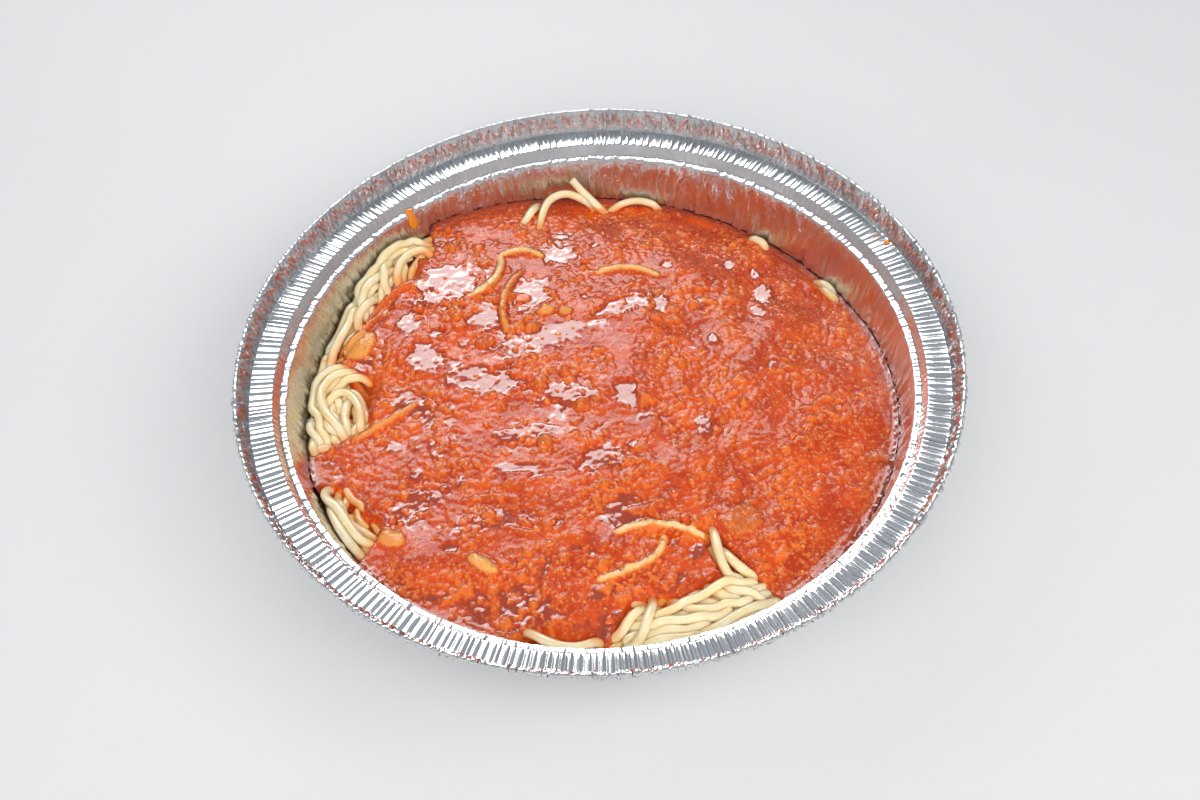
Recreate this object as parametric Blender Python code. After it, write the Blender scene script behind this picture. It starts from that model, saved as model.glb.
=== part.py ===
"""Spaghetti with meat sauce in a round aluminium foil takeaway pan.

The pan is a fluted foil shell. The spaghetti fills it up to a mounded top, with the strands
that show fused on at true size. The meat sauce is a layer over most of the spaghetti.
Lengths are in millimetres here and are scaled to metres where vertices are made.
The origin is the middle of the pan's flat bottom.
"""

import math
import random

import bmesh
import bpy
from mathutils import Vector, noise
from mathutils.geometry import delaunay_2d_cdt

MM = 0.001

# Foil pan: radii and heights, from the flat bottom out to the flange's top edge
PAN_HEIGHT = 41.5
FLANGE_TOP_RADIUS = 94.7
LEDGE_OUTER_RADIUS = 92.2
LEDGE_OUTER_HEIGHT = 36.5
LEDGE_INNER_RADIUS = 86.2
LEDGE_INNER_HEIGHT = 35.2
SHELF_OUTER_RADIUS = 84.8
SHELF_OUTER_HEIGHT = 33.2
SHELF_INNER_RADIUS = 82.9
SHELF_INNER_HEIGHT = 32.6
WALL_MIDDLE_HEIGHT = 18.0
WALL_FOOT_RADIUS = 74.6
WALL_FOOT_HEIGHT = 4.0
FOOT_BEND_RADIUS = 73.2
FOOT_BEND_HEIGHT = 1.6
BOTTOM_RADIUS = 70.0
FLANGE_HEM = 0.6
FOIL_THICKNESS = 0.4

# Flutes and wrinkles pressed into the foil, two columns of vertices to a flute
FLUTES = 58
FLUTE_DEPTH = 0.15
CRIMP_DEPTH = 0.24
WRINKLE_DEPTH = 0.22

# Food surface: its height in the middle and, by direction, at the wall
MIDDLE_HEIGHT = 27.0
WALL_HEIGHT = 21.5
WALL_LOBES = ((134, 32, 3.5), (45, 38, -5.0), (270, 50, 2.5), (185, 22, -1.5), (90, 22, -1.5))
FOOD_EDGE_RADIUS = 80.0
WALL_GAP = 0.9

# Sauce layer and the bays in its edge, each a direction, a half width and a radius
SAUCE_DEPTH = 3.4
LAYER_GAP = 0.5
SAUCE_RELIEF = 1.5
SAUCE_BEVEL = 1.6
SAUCE_BAYS = (
    (146, 23, 71.5),
    (178, 12, 64.0),
    (208, 10, 72.0),
    (261, 10, 72.5),
    (287, 18, 68.0),
    (297, 7, 60.0),
    (96, 12, 72.5),
    (78, 9, 72.0),
    (51, 8, 72.0),
    (28, 10, 72.0),
)

# How finely the layers are divided: points round an outline, and spacing inside it
SAUCE_COLUMNS = 110
CORE_COLUMNS = 72
SAUCE_SPACING = 5.5
CORE_SPACING = 8.0
ROW_SHARE = math.sqrt(3) / 2
UNEVENNESS = 0.2

# Strands of spaghetti: bend in degrees and reach between two points along a strand
STRAND_RADIUS = 1.2
STRAND_STEP = 1.6
STRAND_BEND = 24.0
STRAND_REACH = 9.0
CLEAR_OF_SAUCE = 0.4
CLEARANCE_PROBES = 12

# Bare strands, each an arc: middle x and y, radius, first and last direction, height over the food
BARE_STRANDS = (
    (-53, 45, 15, 208, 56, 1.6),
    (-58, 43, 8, 224, 56, 0.6),
    (-50, 51, 7, 212, 39, 1.4),
    (-56, 46, 21, 185, 132, -0.8),
    (-57, 22, 17, 196, 112, 0.6),
    (-59, 30, 10, 199, 120, 1.0),
    (-67, 2, 12, 223, 70, 1.8),
    (-52, 0, 24, 203, 143, 0.4),
    (-70, -1, 6.5, 267, -80, 2.2),
    (-60, -3, 17, 215, 150, -0.9),
    (-98, -70, 62, 76, 58, 0.6),
    (30, 38, 122.5, 212, 222, 0.4),
    (-127, -80, 70, 41, 25, -0.6),
    (-10, -64, 13, 205, 300, 0.2),
    (-59, -42, 74, 327, 341, 0.4),
    (20, -82, 17, 140, 62, 1.0),
    (14, -27, 46, 262, 300, 0.8),
    (14, -37, 38, 258, 312, 0.0),
    (12, -40, 33, 266, 318, -1.0),
    (28, -76, 11, 100, 34, 1.6),
    (48, -47, 22, 178, 222, 0.8),
    (-12, 70, 8, 200, -15, 4.6),
    (12, 64, 13, 150, 35, 0.6),
    (51, 57, 6, 150, 20, 0.6),
    (30, 0, 53, 62, 33, 0.4),
)

# Strands that lie low beside the wall in each bay at least this many degrees wide
LOW_BAY_WIDTH = 9
LOW_STRAND_LIFT = -2.0

# Strands coated by the sauce and half sunk in it, in the same terms
COATED_STRANDS = (
    (-41, 49, 14.5, 240, 365, 0.9),
    (-21, 41, 12.5, 118, 62, 0.8),
    (-2, 30, 24, 153, 196, 0.7),
    (6, 30, 19, 110, 62, 0.4),
    (12, -78, 34, 108, 70, 0.9),
    (-22, 10, 72, 287, 304, 0.8),
    (-20, -34, 22, 222, 262, 0.4),
    (-60, 30, 33, 262, 292, 0.5),
)

# Largest crumbs of meat, as relief on the sauce
CRUMBS = 24
CRUMB_RADII = (1.2, 2.1)
CRUMB_REACH = 66.0
SEED = 11


def clear_scene():
    for thing in list(bpy.data.objects):
        bpy.data.objects.remove(thing)


def link(thing):
    bpy.context.scene.collection.objects.link(thing)
    return thing


def material(name, colour, roughness, metallic=0.0):
    made = bpy.data.materials.new(name)
    made.use_nodes = True
    shader = made.node_tree.nodes["Principled BSDF"]
    shader.inputs["Base Color"].default_value = (*colour, 1.0)
    shader.inputs["Roughness"].default_value = roughness
    shader.inputs["Metallic"].default_value = metallic
    return made


def object_from(name, shape, finish=None):
    """Turns a bmesh in millimetres into an object in metres."""
    bmesh.ops.recalc_face_normals(shape, faces=shape.faces)
    mesh = bpy.data.meshes.new(name)
    bmesh.ops.scale(shape, vec=(MM, MM, MM), verts=shape.verts)
    shape.to_mesh(mesh)
    shape.free()
    if finish:
        mesh.materials.append(finish)
    return link(bpy.data.objects.new(name, mesh))


def polar(radius, direction):
    return radius * math.cos(direction), radius * math.sin(direction)


def turn_between(direction, degrees):
    """The angle from one direction, in degrees, to another, in radians, within half a turn."""
    return (math.degrees(direction) - degrees + 180.0) % 360.0 - 180.0


def wall_radius(height):
    """The foil wall's inner radius at a height."""
    share = (height - WALL_FOOT_HEIGHT) / (SHELF_INNER_HEIGHT - WALL_FOOT_HEIGHT)
    return WALL_FOOT_RADIUS + (SHELF_INNER_RADIUS - WALL_FOOT_RADIUS) * min(share, 1.0)


def height_at_wall(direction):
    total = WALL_HEIGHT
    for middle, width, amount in WALL_LOBES:
        total += amount * math.exp(-((turn_between(direction, middle) / width) ** 2))
    return total


def food_height(x, y):
    """The mounded surface of the food, without its relief."""
    share = min(1.0, math.hypot(x, y) / FOOD_EDGE_RADIUS)
    at_wall = height_at_wall(math.atan2(y, x))
    return MIDDLE_HEIGHT + (at_wall - MIDDLE_HEIGHT) * share * share


def core_height(x, y):
    return food_height(x, y) - SAUCE_DEPTH - LAYER_GAP


def sauce_underside(x, y):
    return food_height(x, y) - SAUCE_DEPTH


def sauce_top(x, y):
    """The food's surface with the sauce's lumps and dips."""
    spot = Vector((x, y, 0.0))
    lumps = noise.noise(spot / 20.0) + 0.5 * noise.noise(spot / 11.0)
    from_edge = max(0.0, sauce_edge(math.atan2(y, x)) - math.hypot(x, y))
    rounding = SAUCE_BEVEL * math.exp(-from_edge / SAUCE_BEVEL)
    return food_height(x, y) + SAUCE_RELIEF * lumps - rounding


def food_edge(direction):
    """Where the food meets the wall, with the gap that keeps it clear of the foil."""
    return wall_radius(height_at_wall(direction) - SAUCE_DEPTH) - WALL_GAP


def sauce_edge(direction):
    """The sauce's outline, which draws back from the wall in bays."""
    full = food_edge(direction)
    radius = full
    for middle, width, reach in SAUCE_BAYS:
        bay = max(0.0, 1.0 - abs(turn_between(direction, middle) / width) ** 4)
        radius = min(radius, full - (full - reach) * bay)
    return radius


def pan_profile():
    """Radius, height and pressed pattern along the foil's upper side, from the bottom out."""
    return (
        (BOTTOM_RADIUS, FOIL_THICKNESS, "plain"),
        (FOOT_BEND_RADIUS, FOOT_BEND_HEIGHT, "plain"),
        (WALL_FOOT_RADIUS, WALL_FOOT_HEIGHT, "plain"),
        (wall_radius(WALL_MIDDLE_HEIGHT), WALL_MIDDLE_HEIGHT, "wrinkle"),
        (SHELF_INNER_RADIUS, SHELF_INNER_HEIGHT, "plain"),
        (SHELF_OUTER_RADIUS, SHELF_OUTER_HEIGHT, "plain"),
        (LEDGE_INNER_RADIUS, LEDGE_INNER_HEIGHT, "flute"),
        (LEDGE_OUTER_RADIUS, LEDGE_OUTER_HEIGHT, "flute"),
        (FLANGE_TOP_RADIUS - FLANGE_HEM / 2, PAN_HEIGHT - FLANGE_HEM, "crimp"),
        (FLANGE_TOP_RADIUS, PAN_HEIGHT, "crimp"),
    )


def pan_point(column, radius, height, pattern, draw):
    """A profile point turned to its column, pushed by the pattern pressed into the foil there."""
    side = 1.0 if column % 2 else -1.0
    if pattern == "crimp":
        radius += side * CRIMP_DEPTH
    elif pattern == "flute":
        height += side * FLUTE_DEPTH
    elif pattern == "wrinkle":
        radius += side * WRINKLE_DEPTH * draw.uniform(0.4, 1.0)
    x, y = polar(radius, math.tau * column / (2 * FLUTES))
    return Vector((x, y, height))


def foil_pan():
    """The shell, turned from its profile with a flat bottom, then thickened downwards."""
    draw = random.Random(SEED)
    shape = bmesh.new()
    columns = 2 * FLUTES
    rings = []
    for radius, height, pattern in pan_profile():
        points = (pan_point(c, radius, height, pattern, draw) for c in range(columns))
        rings.append([shape.verts.new(point) for point in points])
    shape.faces.new(rings[0])
    for inner, outer in zip(rings, rings[1:]):
        for c in range(columns):
            following = (c + 1) % columns
            shape.faces.new((inner[c], outer[c], outer[following], inner[following]))
    finish = material("foil", (0.80, 0.81, 0.82), 0.28, 1.0)
    pan = object_from("foil_pan", shape, finish)
    thickness = pan.modifiers.new("foil thickness", "SOLIDIFY")
    thickness.thickness = FOIL_THICKNESS * MM
    thickness.offset = 1.0
    return pan


def outline_points(edge, count):
    return [Vector(polar(edge(math.tau * i / count), math.tau * i / count)) for i in range(count)]


def points_inside(edge, spacing, margin):
    """A slightly uneven grid of points inside an outline."""
    draw = random.Random(SEED)
    row_height = spacing * ROW_SHARE
    reach = math.ceil(FOOD_EDGE_RADIUS / row_height)
    found = []
    for j in range(-reach, reach + 1):
        for i in range(-reach, reach + 1):
            x = (i + 0.5 * (j % 2)) * spacing + draw.uniform(-UNEVENNESS, UNEVENNESS) * spacing
            y = j * row_height + draw.uniform(-UNEVENNESS, UNEVENNESS) * spacing
            if math.hypot(x, y) < edge(math.atan2(y, x)) - margin:
                found.append(Vector((x, y)))
    return found


def add_sheet(shape, outline, inside, height):
    """A triangulated sheet over an outline, and its edge's vertices in order."""
    count = len(outline)
    edges = [(i, (i + 1) % count) for i in range(count)]
    flat, _, faces, origins, _, _ = delaunay_2d_cdt(outline + inside, edges, [], 1, 1e-6)
    verts = [shape.verts.new((p.x, p.y, height(p.x, p.y))) for p in flat]
    for face in faces:
        shape.faces.new([verts[i] for i in face])
    border = [None] * count
    for vert, came_from in zip(verts, origins):
        for source in came_from:
            if source < count:
                border[source] = vert
    return border


def bridge(shape, upper, lower):
    for i, vert in enumerate(upper):
        following = (i + 1) % len(upper)
        shape.faces.new((vert, upper[following], lower[following], lower[i]))


def tube(name, points, radius, collection):
    """A strand along its points, six-sided and closed at both ends."""
    curve = bpy.data.curves.new(name, "CURVE")
    curve.dimensions = "3D"
    curve.bevel_depth = radius * MM
    curve.bevel_resolution = 1
    curve.use_fill_caps = True
    spline = curve.splines.new("POLY")
    spline.points.add(len(points) - 1)
    for knot, point in zip(spline.points, points):
        knot.co = (*(point * MM), 1.0)
    guide = link(bpy.data.objects.new(name, curve))
    mesh = bpy.data.meshes.new_from_object(guide.evaluated_get(bpy.context.evaluated_depsgraph_get()))
    bpy.data.objects.remove(guide)
    shape = bmesh.new()
    shape.from_mesh(mesh)
    bmesh.ops.remove_doubles(shape, verts=shape.verts, dist=0.02 * MM)
    bmesh.ops.recalc_face_normals(shape, faces=shape.faces)
    shape.to_mesh(mesh)
    shape.free()
    strand = bpy.data.objects.new(name, mesh)
    collection.objects.link(strand)


def arc_points(arc, surface):
    """Points along an arc over a surface, kept inside the wall."""
    middle_x, middle_y, radius, first, last, lift = arc
    length = radius * math.radians(abs(last - first))
    steps = max(3, round(length / STRAND_STEP))
    points = []
    for i in range(steps + 1):
        x, y = polar(radius, math.radians(first + (last - first) * i / steps))
        x, y = middle_x + x, middle_y + y
        points.append(inside_wall(Vector((x, y, surface(x, y) + lift))))
    return points


def inside_wall(point):
    """The point, or where it reaches past the wall, the nearest place for a strand beside it."""
    limit = wall_radius(point.z - STRAND_RADIUS) - WALL_GAP - STRAND_RADIUS
    pull = min(1.0, limit / math.hypot(point.x, point.y))
    return Vector((point.x * pull, point.y * pull, point.z))


def longest_run(points, allowed):
    """The longest stretch of neighbouring points that are all allowed."""
    best, run = [], []
    for point in points:
        run = run + [point] if allowed(point) else []
        if len(run) > len(best):
            best = run
    return best


def thinned(points, radius):
    """The same run with only the points that its bend and length need."""
    length = sum((b - a).length for a, b in zip(points, points[1:]))
    wanted = max(2, math.ceil(math.degrees(length / radius) / STRAND_BEND), round(length / STRAND_REACH))
    steps = min(wanted, len(points) - 1)
    return [points[round(i * (len(points) - 1) / steps)] for i in range(steps + 1)]


def clear_of_sauce(point):
    """True where the sauce's outline leaves room all round a strand."""
    for i in range(CLEARANCE_PROBES):
        x, y = polar(STRAND_RADIUS + CLEAR_OF_SAUCE, math.tau * i / CLEARANCE_PROBES)
        x, y = point.x + x, point.y + y
        if math.hypot(x, y) < sauce_edge(math.atan2(y, x)):
            return False
    return True


def fuse(body, collection):
    """Joins a collection's pieces to a body, fills sealed hollows and drops loose scraps."""
    union = body.modifiers.new("pieces", "BOOLEAN")
    union.operation = "UNION"
    union.operand_type = "COLLECTION"
    union.collection = collection
    union.solver = "MANIFOLD"
    finish = body.data.materials[0]
    evaluated = body.evaluated_get(bpy.context.evaluated_depsgraph_get())
    joined = bpy.data.meshes.new_from_object(evaluated)
    body.modifiers.remove(union)
    shape = bmesh.new()
    shape.from_mesh(joined)
    keep_largest_body(shape)
    bmesh.ops.triangulate(shape, faces=shape.faces)
    for face in shape.faces:
        face.material_index = 0
    shape.to_mesh(body.data)
    shape.free()
    bpy.data.meshes.remove(joined)
    body.data.materials.clear()
    body.data.materials.append(finish)
    for piece in list(collection.objects):
        bpy.data.objects.remove(piece)
    bpy.data.collections.remove(collection)


def keep_largest_body(shape):
    waiting = set(shape.verts)
    bodies = []
    while waiting:
        front = [waiting.pop()]
        body = set(front)
        while front:
            vert = front.pop()
            for edge in vert.link_edges:
                other = edge.other_vert(vert)
                if other in waiting:
                    waiting.discard(other)
                    body.add(other)
                    front.append(other)
        bodies.append(body)
    bodies.sort(key=len, reverse=True)
    loose = [vert for body in bodies[1:] for vert in body]
    bmesh.ops.delete(shape, geom=loose, context="VERTS")


def spaghetti_core():
    """The heap under the strands and sauce, down to the pan's bottom."""
    shape = bmesh.new()
    outline = outline_points(food_edge, CORE_COLUMNS)
    inside = points_inside(food_edge, CORE_SPACING, CORE_SPACING * 0.5)
    upper = add_sheet(shape, outline, inside, core_height)
    above_bend = (WALL_FOOT_RADIUS - 1.4 * WALL_GAP, WALL_FOOT_HEIGHT + LAYER_GAP)
    on_bottom = (BOTTOM_RADIUS - 2 * WALL_GAP, FOIL_THICKNESS + LAYER_GAP)
    for radius, height in (above_bend, on_bottom):
        directions = (math.tau * i / CORE_COLUMNS for i in range(CORE_COLUMNS))
        lower = [shape.verts.new((*polar(radius, direction), height)) for direction in directions]
        bridge(shape, upper, lower)
        upper = lower
    shape.faces.new(upper)
    finish = material("cooked_spaghetti", (0.87, 0.78, 0.47), 0.32)
    return object_from("spaghetti", shape, finish)


def low_strands():
    """Strands that follow the wall at the bottom of the wider bays, as arcs."""
    arcs = []
    for middle, width, reach in SAUCE_BAYS:
        if width >= LOW_BAY_WIDTH:
            halfway = (reach + FOOD_EDGE_RADIUS) / 2
            arcs.append((0, 0, halfway, middle - width, middle + width, LOW_STRAND_LIFT))
    return tuple(arcs)


def spaghetti():
    core = spaghetti_core()
    strands = bpy.data.collections.new("strands")
    for number, arc in enumerate(BARE_STRANDS + low_strands()):
        points = longest_run(arc_points(arc, food_height), clear_of_sauce)
        if len(points) > 4:
            points = with_sunk_ends(thinned(points, arc[2]))
            tube(f"strand_{number}", points, STRAND_RADIUS, strands)
    fuse(core, strands)


def with_sunk_ends(points):
    """The same strand with both ends dipped into the heap."""
    sunk = [point.copy() for point in points]
    for end in (0, -1):
        x, y = sunk[end].xy
        sunk[end] = inside_wall(Vector((x, y, core_height(x, y) + 0.4 * STRAND_RADIUS)))
    return sunk


def meat_sauce():
    shape = bmesh.new()
    outline = outline_points(sauce_edge, SAUCE_COLUMNS)
    inside = points_inside(sauce_edge, SAUCE_SPACING, SAUCE_SPACING * 0.6)
    upper = add_sheet(shape, outline, inside, sauce_top)
    sparse = points_inside(sauce_edge, CORE_SPACING, CORE_SPACING * 0.5)
    lower = add_sheet(shape, outline, sparse, sauce_underside)
    bridge(shape, upper, lower)
    sauce = object_from("meat_sauce", shape, material("meat_sauce", (0.58, 0.085, 0.022), 0.25))
    relief = bpy.data.collections.new("relief")
    for number, arc in enumerate(COATED_STRANDS):
        points = thinned(arc_points(arc, sauce_top), arc[2])
        tube(f"coated_{number}", points, STRAND_RADIUS * 1.1, relief)
    draw = random.Random(SEED)
    for number in range(CRUMBS):
        crumb(number, draw, relief)
    fuse(sauce, relief)


def crumb(number, draw, collection):
    """A lump of meat, half sunk in the sauce at a drawn place."""
    radius = draw.uniform(*CRUMB_RADII)
    x, y = polar(CRUMB_REACH * math.sqrt(draw.random()), draw.uniform(0.0, math.tau))
    reach = sauce_edge(math.atan2(y, x)) - 2 * CRUMB_RADII[1]
    pull = min(1.0, reach / math.hypot(x, y))
    x, y = x * pull, y * pull
    shape = bmesh.new()
    bmesh.ops.create_icosphere(shape, subdivisions=1, radius=radius)
    for vert in shape.verts:
        vert.co *= draw.uniform(0.8, 1.15)
    bmesh.ops.translate(shape, vec=(x, y, sauce_top(x, y) + 0.25 * radius), verts=shape.verts)
    lump = object_from(f"crumb_{number}", shape)
    bpy.context.scene.collection.objects.unlink(lump)
    collection.objects.link(lump)


def main():
    clear_scene()
    foil_pan()
    spaghetti()
    meat_sauce()


main()
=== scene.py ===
"""Looks for spaghetti with meat sauce in a round foil takeaway pan.

Laid out as an add-on and run as a script. Lengths in the helpers are in millimetres, in the
frame of the solids, and are scaled to metres where meshes are made.
"""

import math

import bmesh
import bpy
import numpy as np
from bpy.props import FloatProperty, FloatVectorProperty, IntProperty, PointerProperty
from mathutils import Matrix, Vector, noise
from mathutils.geometry import delaunay_2d_cdt


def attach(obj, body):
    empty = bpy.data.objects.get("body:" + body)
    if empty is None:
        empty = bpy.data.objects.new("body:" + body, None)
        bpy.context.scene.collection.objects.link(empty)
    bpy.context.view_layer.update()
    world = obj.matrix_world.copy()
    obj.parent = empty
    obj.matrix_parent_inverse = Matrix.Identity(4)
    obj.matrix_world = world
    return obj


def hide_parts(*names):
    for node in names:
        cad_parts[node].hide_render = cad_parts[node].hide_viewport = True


bl_info = {
    "name": "Spaghetti in a Foil Pan",
    "version": (1, 0, 0),
    "blender": (4, 5, 0),
    "location": "View3D > Sidebar > Takeaway",
    "description": "Presses the foil pan, lays the spaghetti, pours the meat sauce and sets the stage",
    "category": "Add Mesh",
}

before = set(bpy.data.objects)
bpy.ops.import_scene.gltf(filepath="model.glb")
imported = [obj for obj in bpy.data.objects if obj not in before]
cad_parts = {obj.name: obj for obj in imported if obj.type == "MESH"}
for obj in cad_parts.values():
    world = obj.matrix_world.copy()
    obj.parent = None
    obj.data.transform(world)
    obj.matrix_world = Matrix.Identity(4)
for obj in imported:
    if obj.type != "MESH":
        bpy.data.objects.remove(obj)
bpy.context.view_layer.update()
MM = 0.001
BODY = "root"

# Foil pan: radius and height of the shelf's inner edge, the wall's foot and the bend below it
SHELF_INNER = (82.9, 32.6)
WALL_FOOT = (74.6, 4.0)
FOOT_BEND = (73.2, 1.6)
BOTTOM_RADIUS = 70.0
# Height over which the flange's pleats lean to one side
CRIMP_START = 36.1
# Heights where the foil's underside needs no row of its own
HIDDEN_ROWS = (9.0, 16.5, 22.0, 32.64, 33.2, 35.32)

# Food surface: its height in the middle and, by direction, at the wall
MIDDLE_HEIGHT = 27.0
WALL_HEIGHT = 21.5
WALL_LOBES = ((134, 32, 3.5), (45, 38, -5.0), (270, 50, 2.5), (185, 22, -1.5), (90, 22, -1.5))
FOOD_EDGE_RADIUS = 80.0

# Strands: distance between the points of a laid one and of one that isn't pushed, gap to the wall, and
# how far below and, beside the sauce, above the food's surface they may lie
STRAND_STEP = 1.6
FINE_STEP = 0.8
WALL_GAP = 0.6
HEAP_DEPTH = 5.2
HEAP_RISE = 9.5

# Sauce: length of its edge, and bays in it, each a direction, a half width and a radius
SAUCE_EDGE_LENGTH = 515.0
SAUCE_BAYS = (
    (147.5, 21.5, 71.5),
    (178, 12, 64.0),
    (208, 10, 72.0),
    (261, 9, 76.0),
    (284.5, 16.5, 68.5),
    (298, 3.6, 54.5),
)

# The photograph's camera, fitted to the rings of the rim: angles in degrees, focal length in pixels
PHOTO_TILT = 51.22
PHOTO_ROLL = -2.93
PHOTO_DISTANCE = 413.7
PHOTO_TARGET = (-0.1, -12.1, 36.5)
PHOTO_FOCAL = 1600.0
PHOTO_MIDDLE = (600.0, 400.0)

# Bare strands read off the photograph: pixels along each, and its estimated height over the food
SEEN_STRANDS = (
    ((416, 243, 0.4), (402, 241, 1.2), (389, 245, 1.6), (378, 253, 1.6), (369, 265, 1.4), (363, 278, 1.0),
     (360, 292, 0.4)),
    ((409, 251, 0.0), (396, 251, 0.8), (387, 256, 1.2), (382, 266, 1.6), (383, 279, 1.6), (387, 291, 0.2)),
    ((388, 272, -0.6), (377, 274, 0.8), (367, 281, 1.4), (361, 291, 1.2), (361, 303, 0.2)),
    ((440, 248, 0.4), (426, 246, 1.6), (413, 248, 2.0), (404, 256, 1.8), (399, 266, 1.2), (397, 277, 0.2)),
    ((405, 257, -0.8), (403, 266, -0.2), (401, 274, -0.8)),
    ((364, 304, 0.2), (358, 312, 0.8), (357, 322, 0.8), (361, 334, -0.4)),
    ((370, 284, -0.8), (367, 296, -0.4), (366, 306, -1.2)),
    ((353, 315, 0.0), (346, 327, 0.6), (338, 341, 0.8), (332, 354, 0.6), (326, 369, -0.4)),
    ((374, 362, 1.6), (350, 364, 1.8), (335, 365, 1.4), (322, 375, 1.0), (313, 392, 0.6), (311, 410, 0.4),
     (316, 428, 0.2), (322, 447, -0.8)),
    ((352, 368, 0.6), (340, 371, 0.9), (327, 382, 1.4), (320, 396, 1.7), (323, 409, 1.8), (331, 421, 1.6),
     (341, 433, 1.0), (350, 441, -0.4)),
    ((330, 404, -0.6), (336, 394, 0.4), (345, 391, 1.0), (354, 397, 1.3), (360, 408, 1.2), (362, 420, 0.8),
     (359, 433, -0.2)),
    ((337, 389, -0.8), (343, 381, 0.0), (352, 376, 0.2), (363, 377, -0.6)),
    ((347, 403, -1.6), (345, 418, -1.0), (347, 435, -1.2)),
    ((330, 398, -1.8), (332, 415, -1.4), (337, 431, -1.6)),
    ((287, 432, -0.4), (294, 425, 0.6), (302, 427, 0.8), (310, 436, 0.4), (318, 449, -0.6)),
    ((290, 441, -0.2), (300, 447, 0.2), (312, 453, -0.4)),
    ((318, 449, -0.6), (331, 445, 0.6), (343, 442, 0.9), (353, 437, 0.8), (361, 429, -0.2)),
    ((322, 498, -0.2), (334, 511, 0.8), (346, 524, 1.2), (356, 535, 1.0), (365, 545, -0.2)),
    ((325, 515, 0.0), (337, 530, 0.8), (347, 544, 0.9), (356, 556, -0.2)),
    ((532, 633, 0.2), (545, 640, 0.9), (560, 645, 1.2), (576, 646, 1.1), (591, 643, 0.2)),
    ((645, 612, 0.6), (638, 614, 1.0), (630, 621, 0.9), (622, 632, 0.2)),
    ((650, 614, 0.8), (647, 625, 1.6), (643, 637, 1.4), (636, 650, 0.4)),
    ((646, 619, 0.0), (668, 611, 1.0), (690, 601, 1.6), (708, 592, 1.8), (724, 584, 1.6), (739, 583, 0.8),
     (747, 588, -0.4)),
    ((724, 585, 0.8), (736, 591, 1.4), (748, 598, 1.2), (756, 602, 0.0)),
    ((712, 589, 0.6), (722, 595, 1.0), (732, 602, 0.9), (742, 607, 0.0)),
    ((687, 608, 0.2), (700, 611, 0.9), (715, 613, 1.1), (728, 610, 0.9), (743, 604, 0.2)),
    ((648, 627, 0.2), (668, 625, 1.1), (684, 624, 1.3), (700, 622, 1.3), (716, 618, 1.1), (728, 612, 0.6),
     (737, 607, -0.2)),
    ((655, 634, 0.0), (680, 629, 0.5), (704, 627, 0.0)),
    ((640, 645, 0.0), (655, 638, 0.6), (672, 635, 0.9), (688, 637, 0.7), (701, 640, 0.2)),
    ((700, 638, -0.2), (712, 632, 0.6), (722, 626, 0.9), (738, 618, 1.0), (752, 611, 0.8), (768, 605, 0.2)),
    ((714, 532, 0.6), (717, 545, 1.4), (721, 559, 1.6), (727, 571, 1.4), (734, 579, 0.4)),
    ((726, 553, 0.0), (733, 560, 0.8), (741, 567, 0.8), (749, 573, -0.2)),
)

# Strands that lie on the sauce's far edge or lean up the wall, read in the same way
FAR_STRANDS = (
    ((538, 242, -2.0), (541, 220, 1.0), (549, 201, 3.2), (566, 194, 4.4), (585, 201, 3.0), (598, 213, -1.5)),
    ((608, 216, -1.5), (596, 205, 2.0), (583, 192, 5.5), (572, 180, 9.0)),
    ((605, 216, -2.0), (620, 205, 1.4), (636, 201, 2.2), (652, 204, 1.8), (666, 214, -2.0)),
    ((516, 234, -2.0), (525, 222, 0.8), (533, 210, 2.2), (541, 206, -1.5)),
    ((750, 245, -2.0), (756, 236, 1.2), (764, 234, 2.0), (771, 238, 1.6), (778, 250, -2.0)),
    ((817, 288, -2.0), (824, 290, 0.6), (832, 297, 0.6), (840, 306, -2.0)),
    ((816, 280, -2.0), (826, 282, 1.4), (836, 290, 1.4), (843, 300, -1.5)),
)

# Guessed strands that fill the gap at the wall, where the photograph shows only pale reflections:
# first and last direction, and height over the food
WALL_STRANDS = ((127, 150, -1.4), (147, 170, -1.8), (165, 187, -1.4), (198, 216, -1.6))
WALL_STRAND_RADIUS = 79.0

# Strands coated by the sauce, each an arc: middle x and y, radius, first and last direction, height
# over the food, and how clean the strand's top is, from 0 to 1
COATED_STRANDS = (
    (-41, 49, 14.5, 288, 368, 0.9, 1.0),
    (-21, 41, 12.5, 118, 62, 0.8, 0.8),
    (8.5, 26.5, 19, 112, 60, 0.8, 0.75),
    (-2, 30, 24, 140, 198, 0.6, 0.35),
    (-90, 45, 60.5, 311, 292, 0.3, 0.4),
)

# Coated strands in front, read like the bare ones, each after how clean its top is
COATED_MARKS = (
    (0.9, ((612, 533, 0.7), (632, 526, 0.9), (655, 524, 0.9), (680, 527, 0.9), (703, 534, 0.7))),
    (0.8, ((664, 537, 0.7), (661, 548, 0.9), (650, 560, 0.9), (628, 570, 0.9), (600, 578, 0.7))),
)

# Lumps in the sauce: middle x and y, half length, half width, turn, rise, and how orange from 0 to 1
SAUCE_LUMPS = (
    (-66.0, 22.0, 5.6, 4.4, 60, 1.7, 0.75),
    (-54.5, -43.0, 4.2, 2.8, -30, 1.3, 0.7),
    (-31.2, -53.0, 4.8, 1.9, -40, 1.7, 1.0),
    (34.0, -44.0, 5.4, 4.8, 10, 0.8, 0.3),
    (-14.0, 28.5, 2.6, 1.9, 20, 1.5, 0.7),
    (-8.5, 28.0, 2.1, 1.7, 0, 1.3, 0.65),
    (-31.0, 18.5, 2.8, 2.3, 0, 1.6, 0.2),
    (-22.0, 23.5, 2.5, 2.1, 40, 1.5, 0.25),
    (-17.5, 22.5, 2.2, 2.0, 0, 1.4, 0.3),
    (-16.0, 2.5, 2.7, 2.2, 70, 1.5, 0.2),
    (-15.0, -17.0, 2.4, 2.1, 0, 1.5, 0.3),
    (-4.5, -5.5, 2.3, 1.9, 30, 1.3, 0.25),
)

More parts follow.
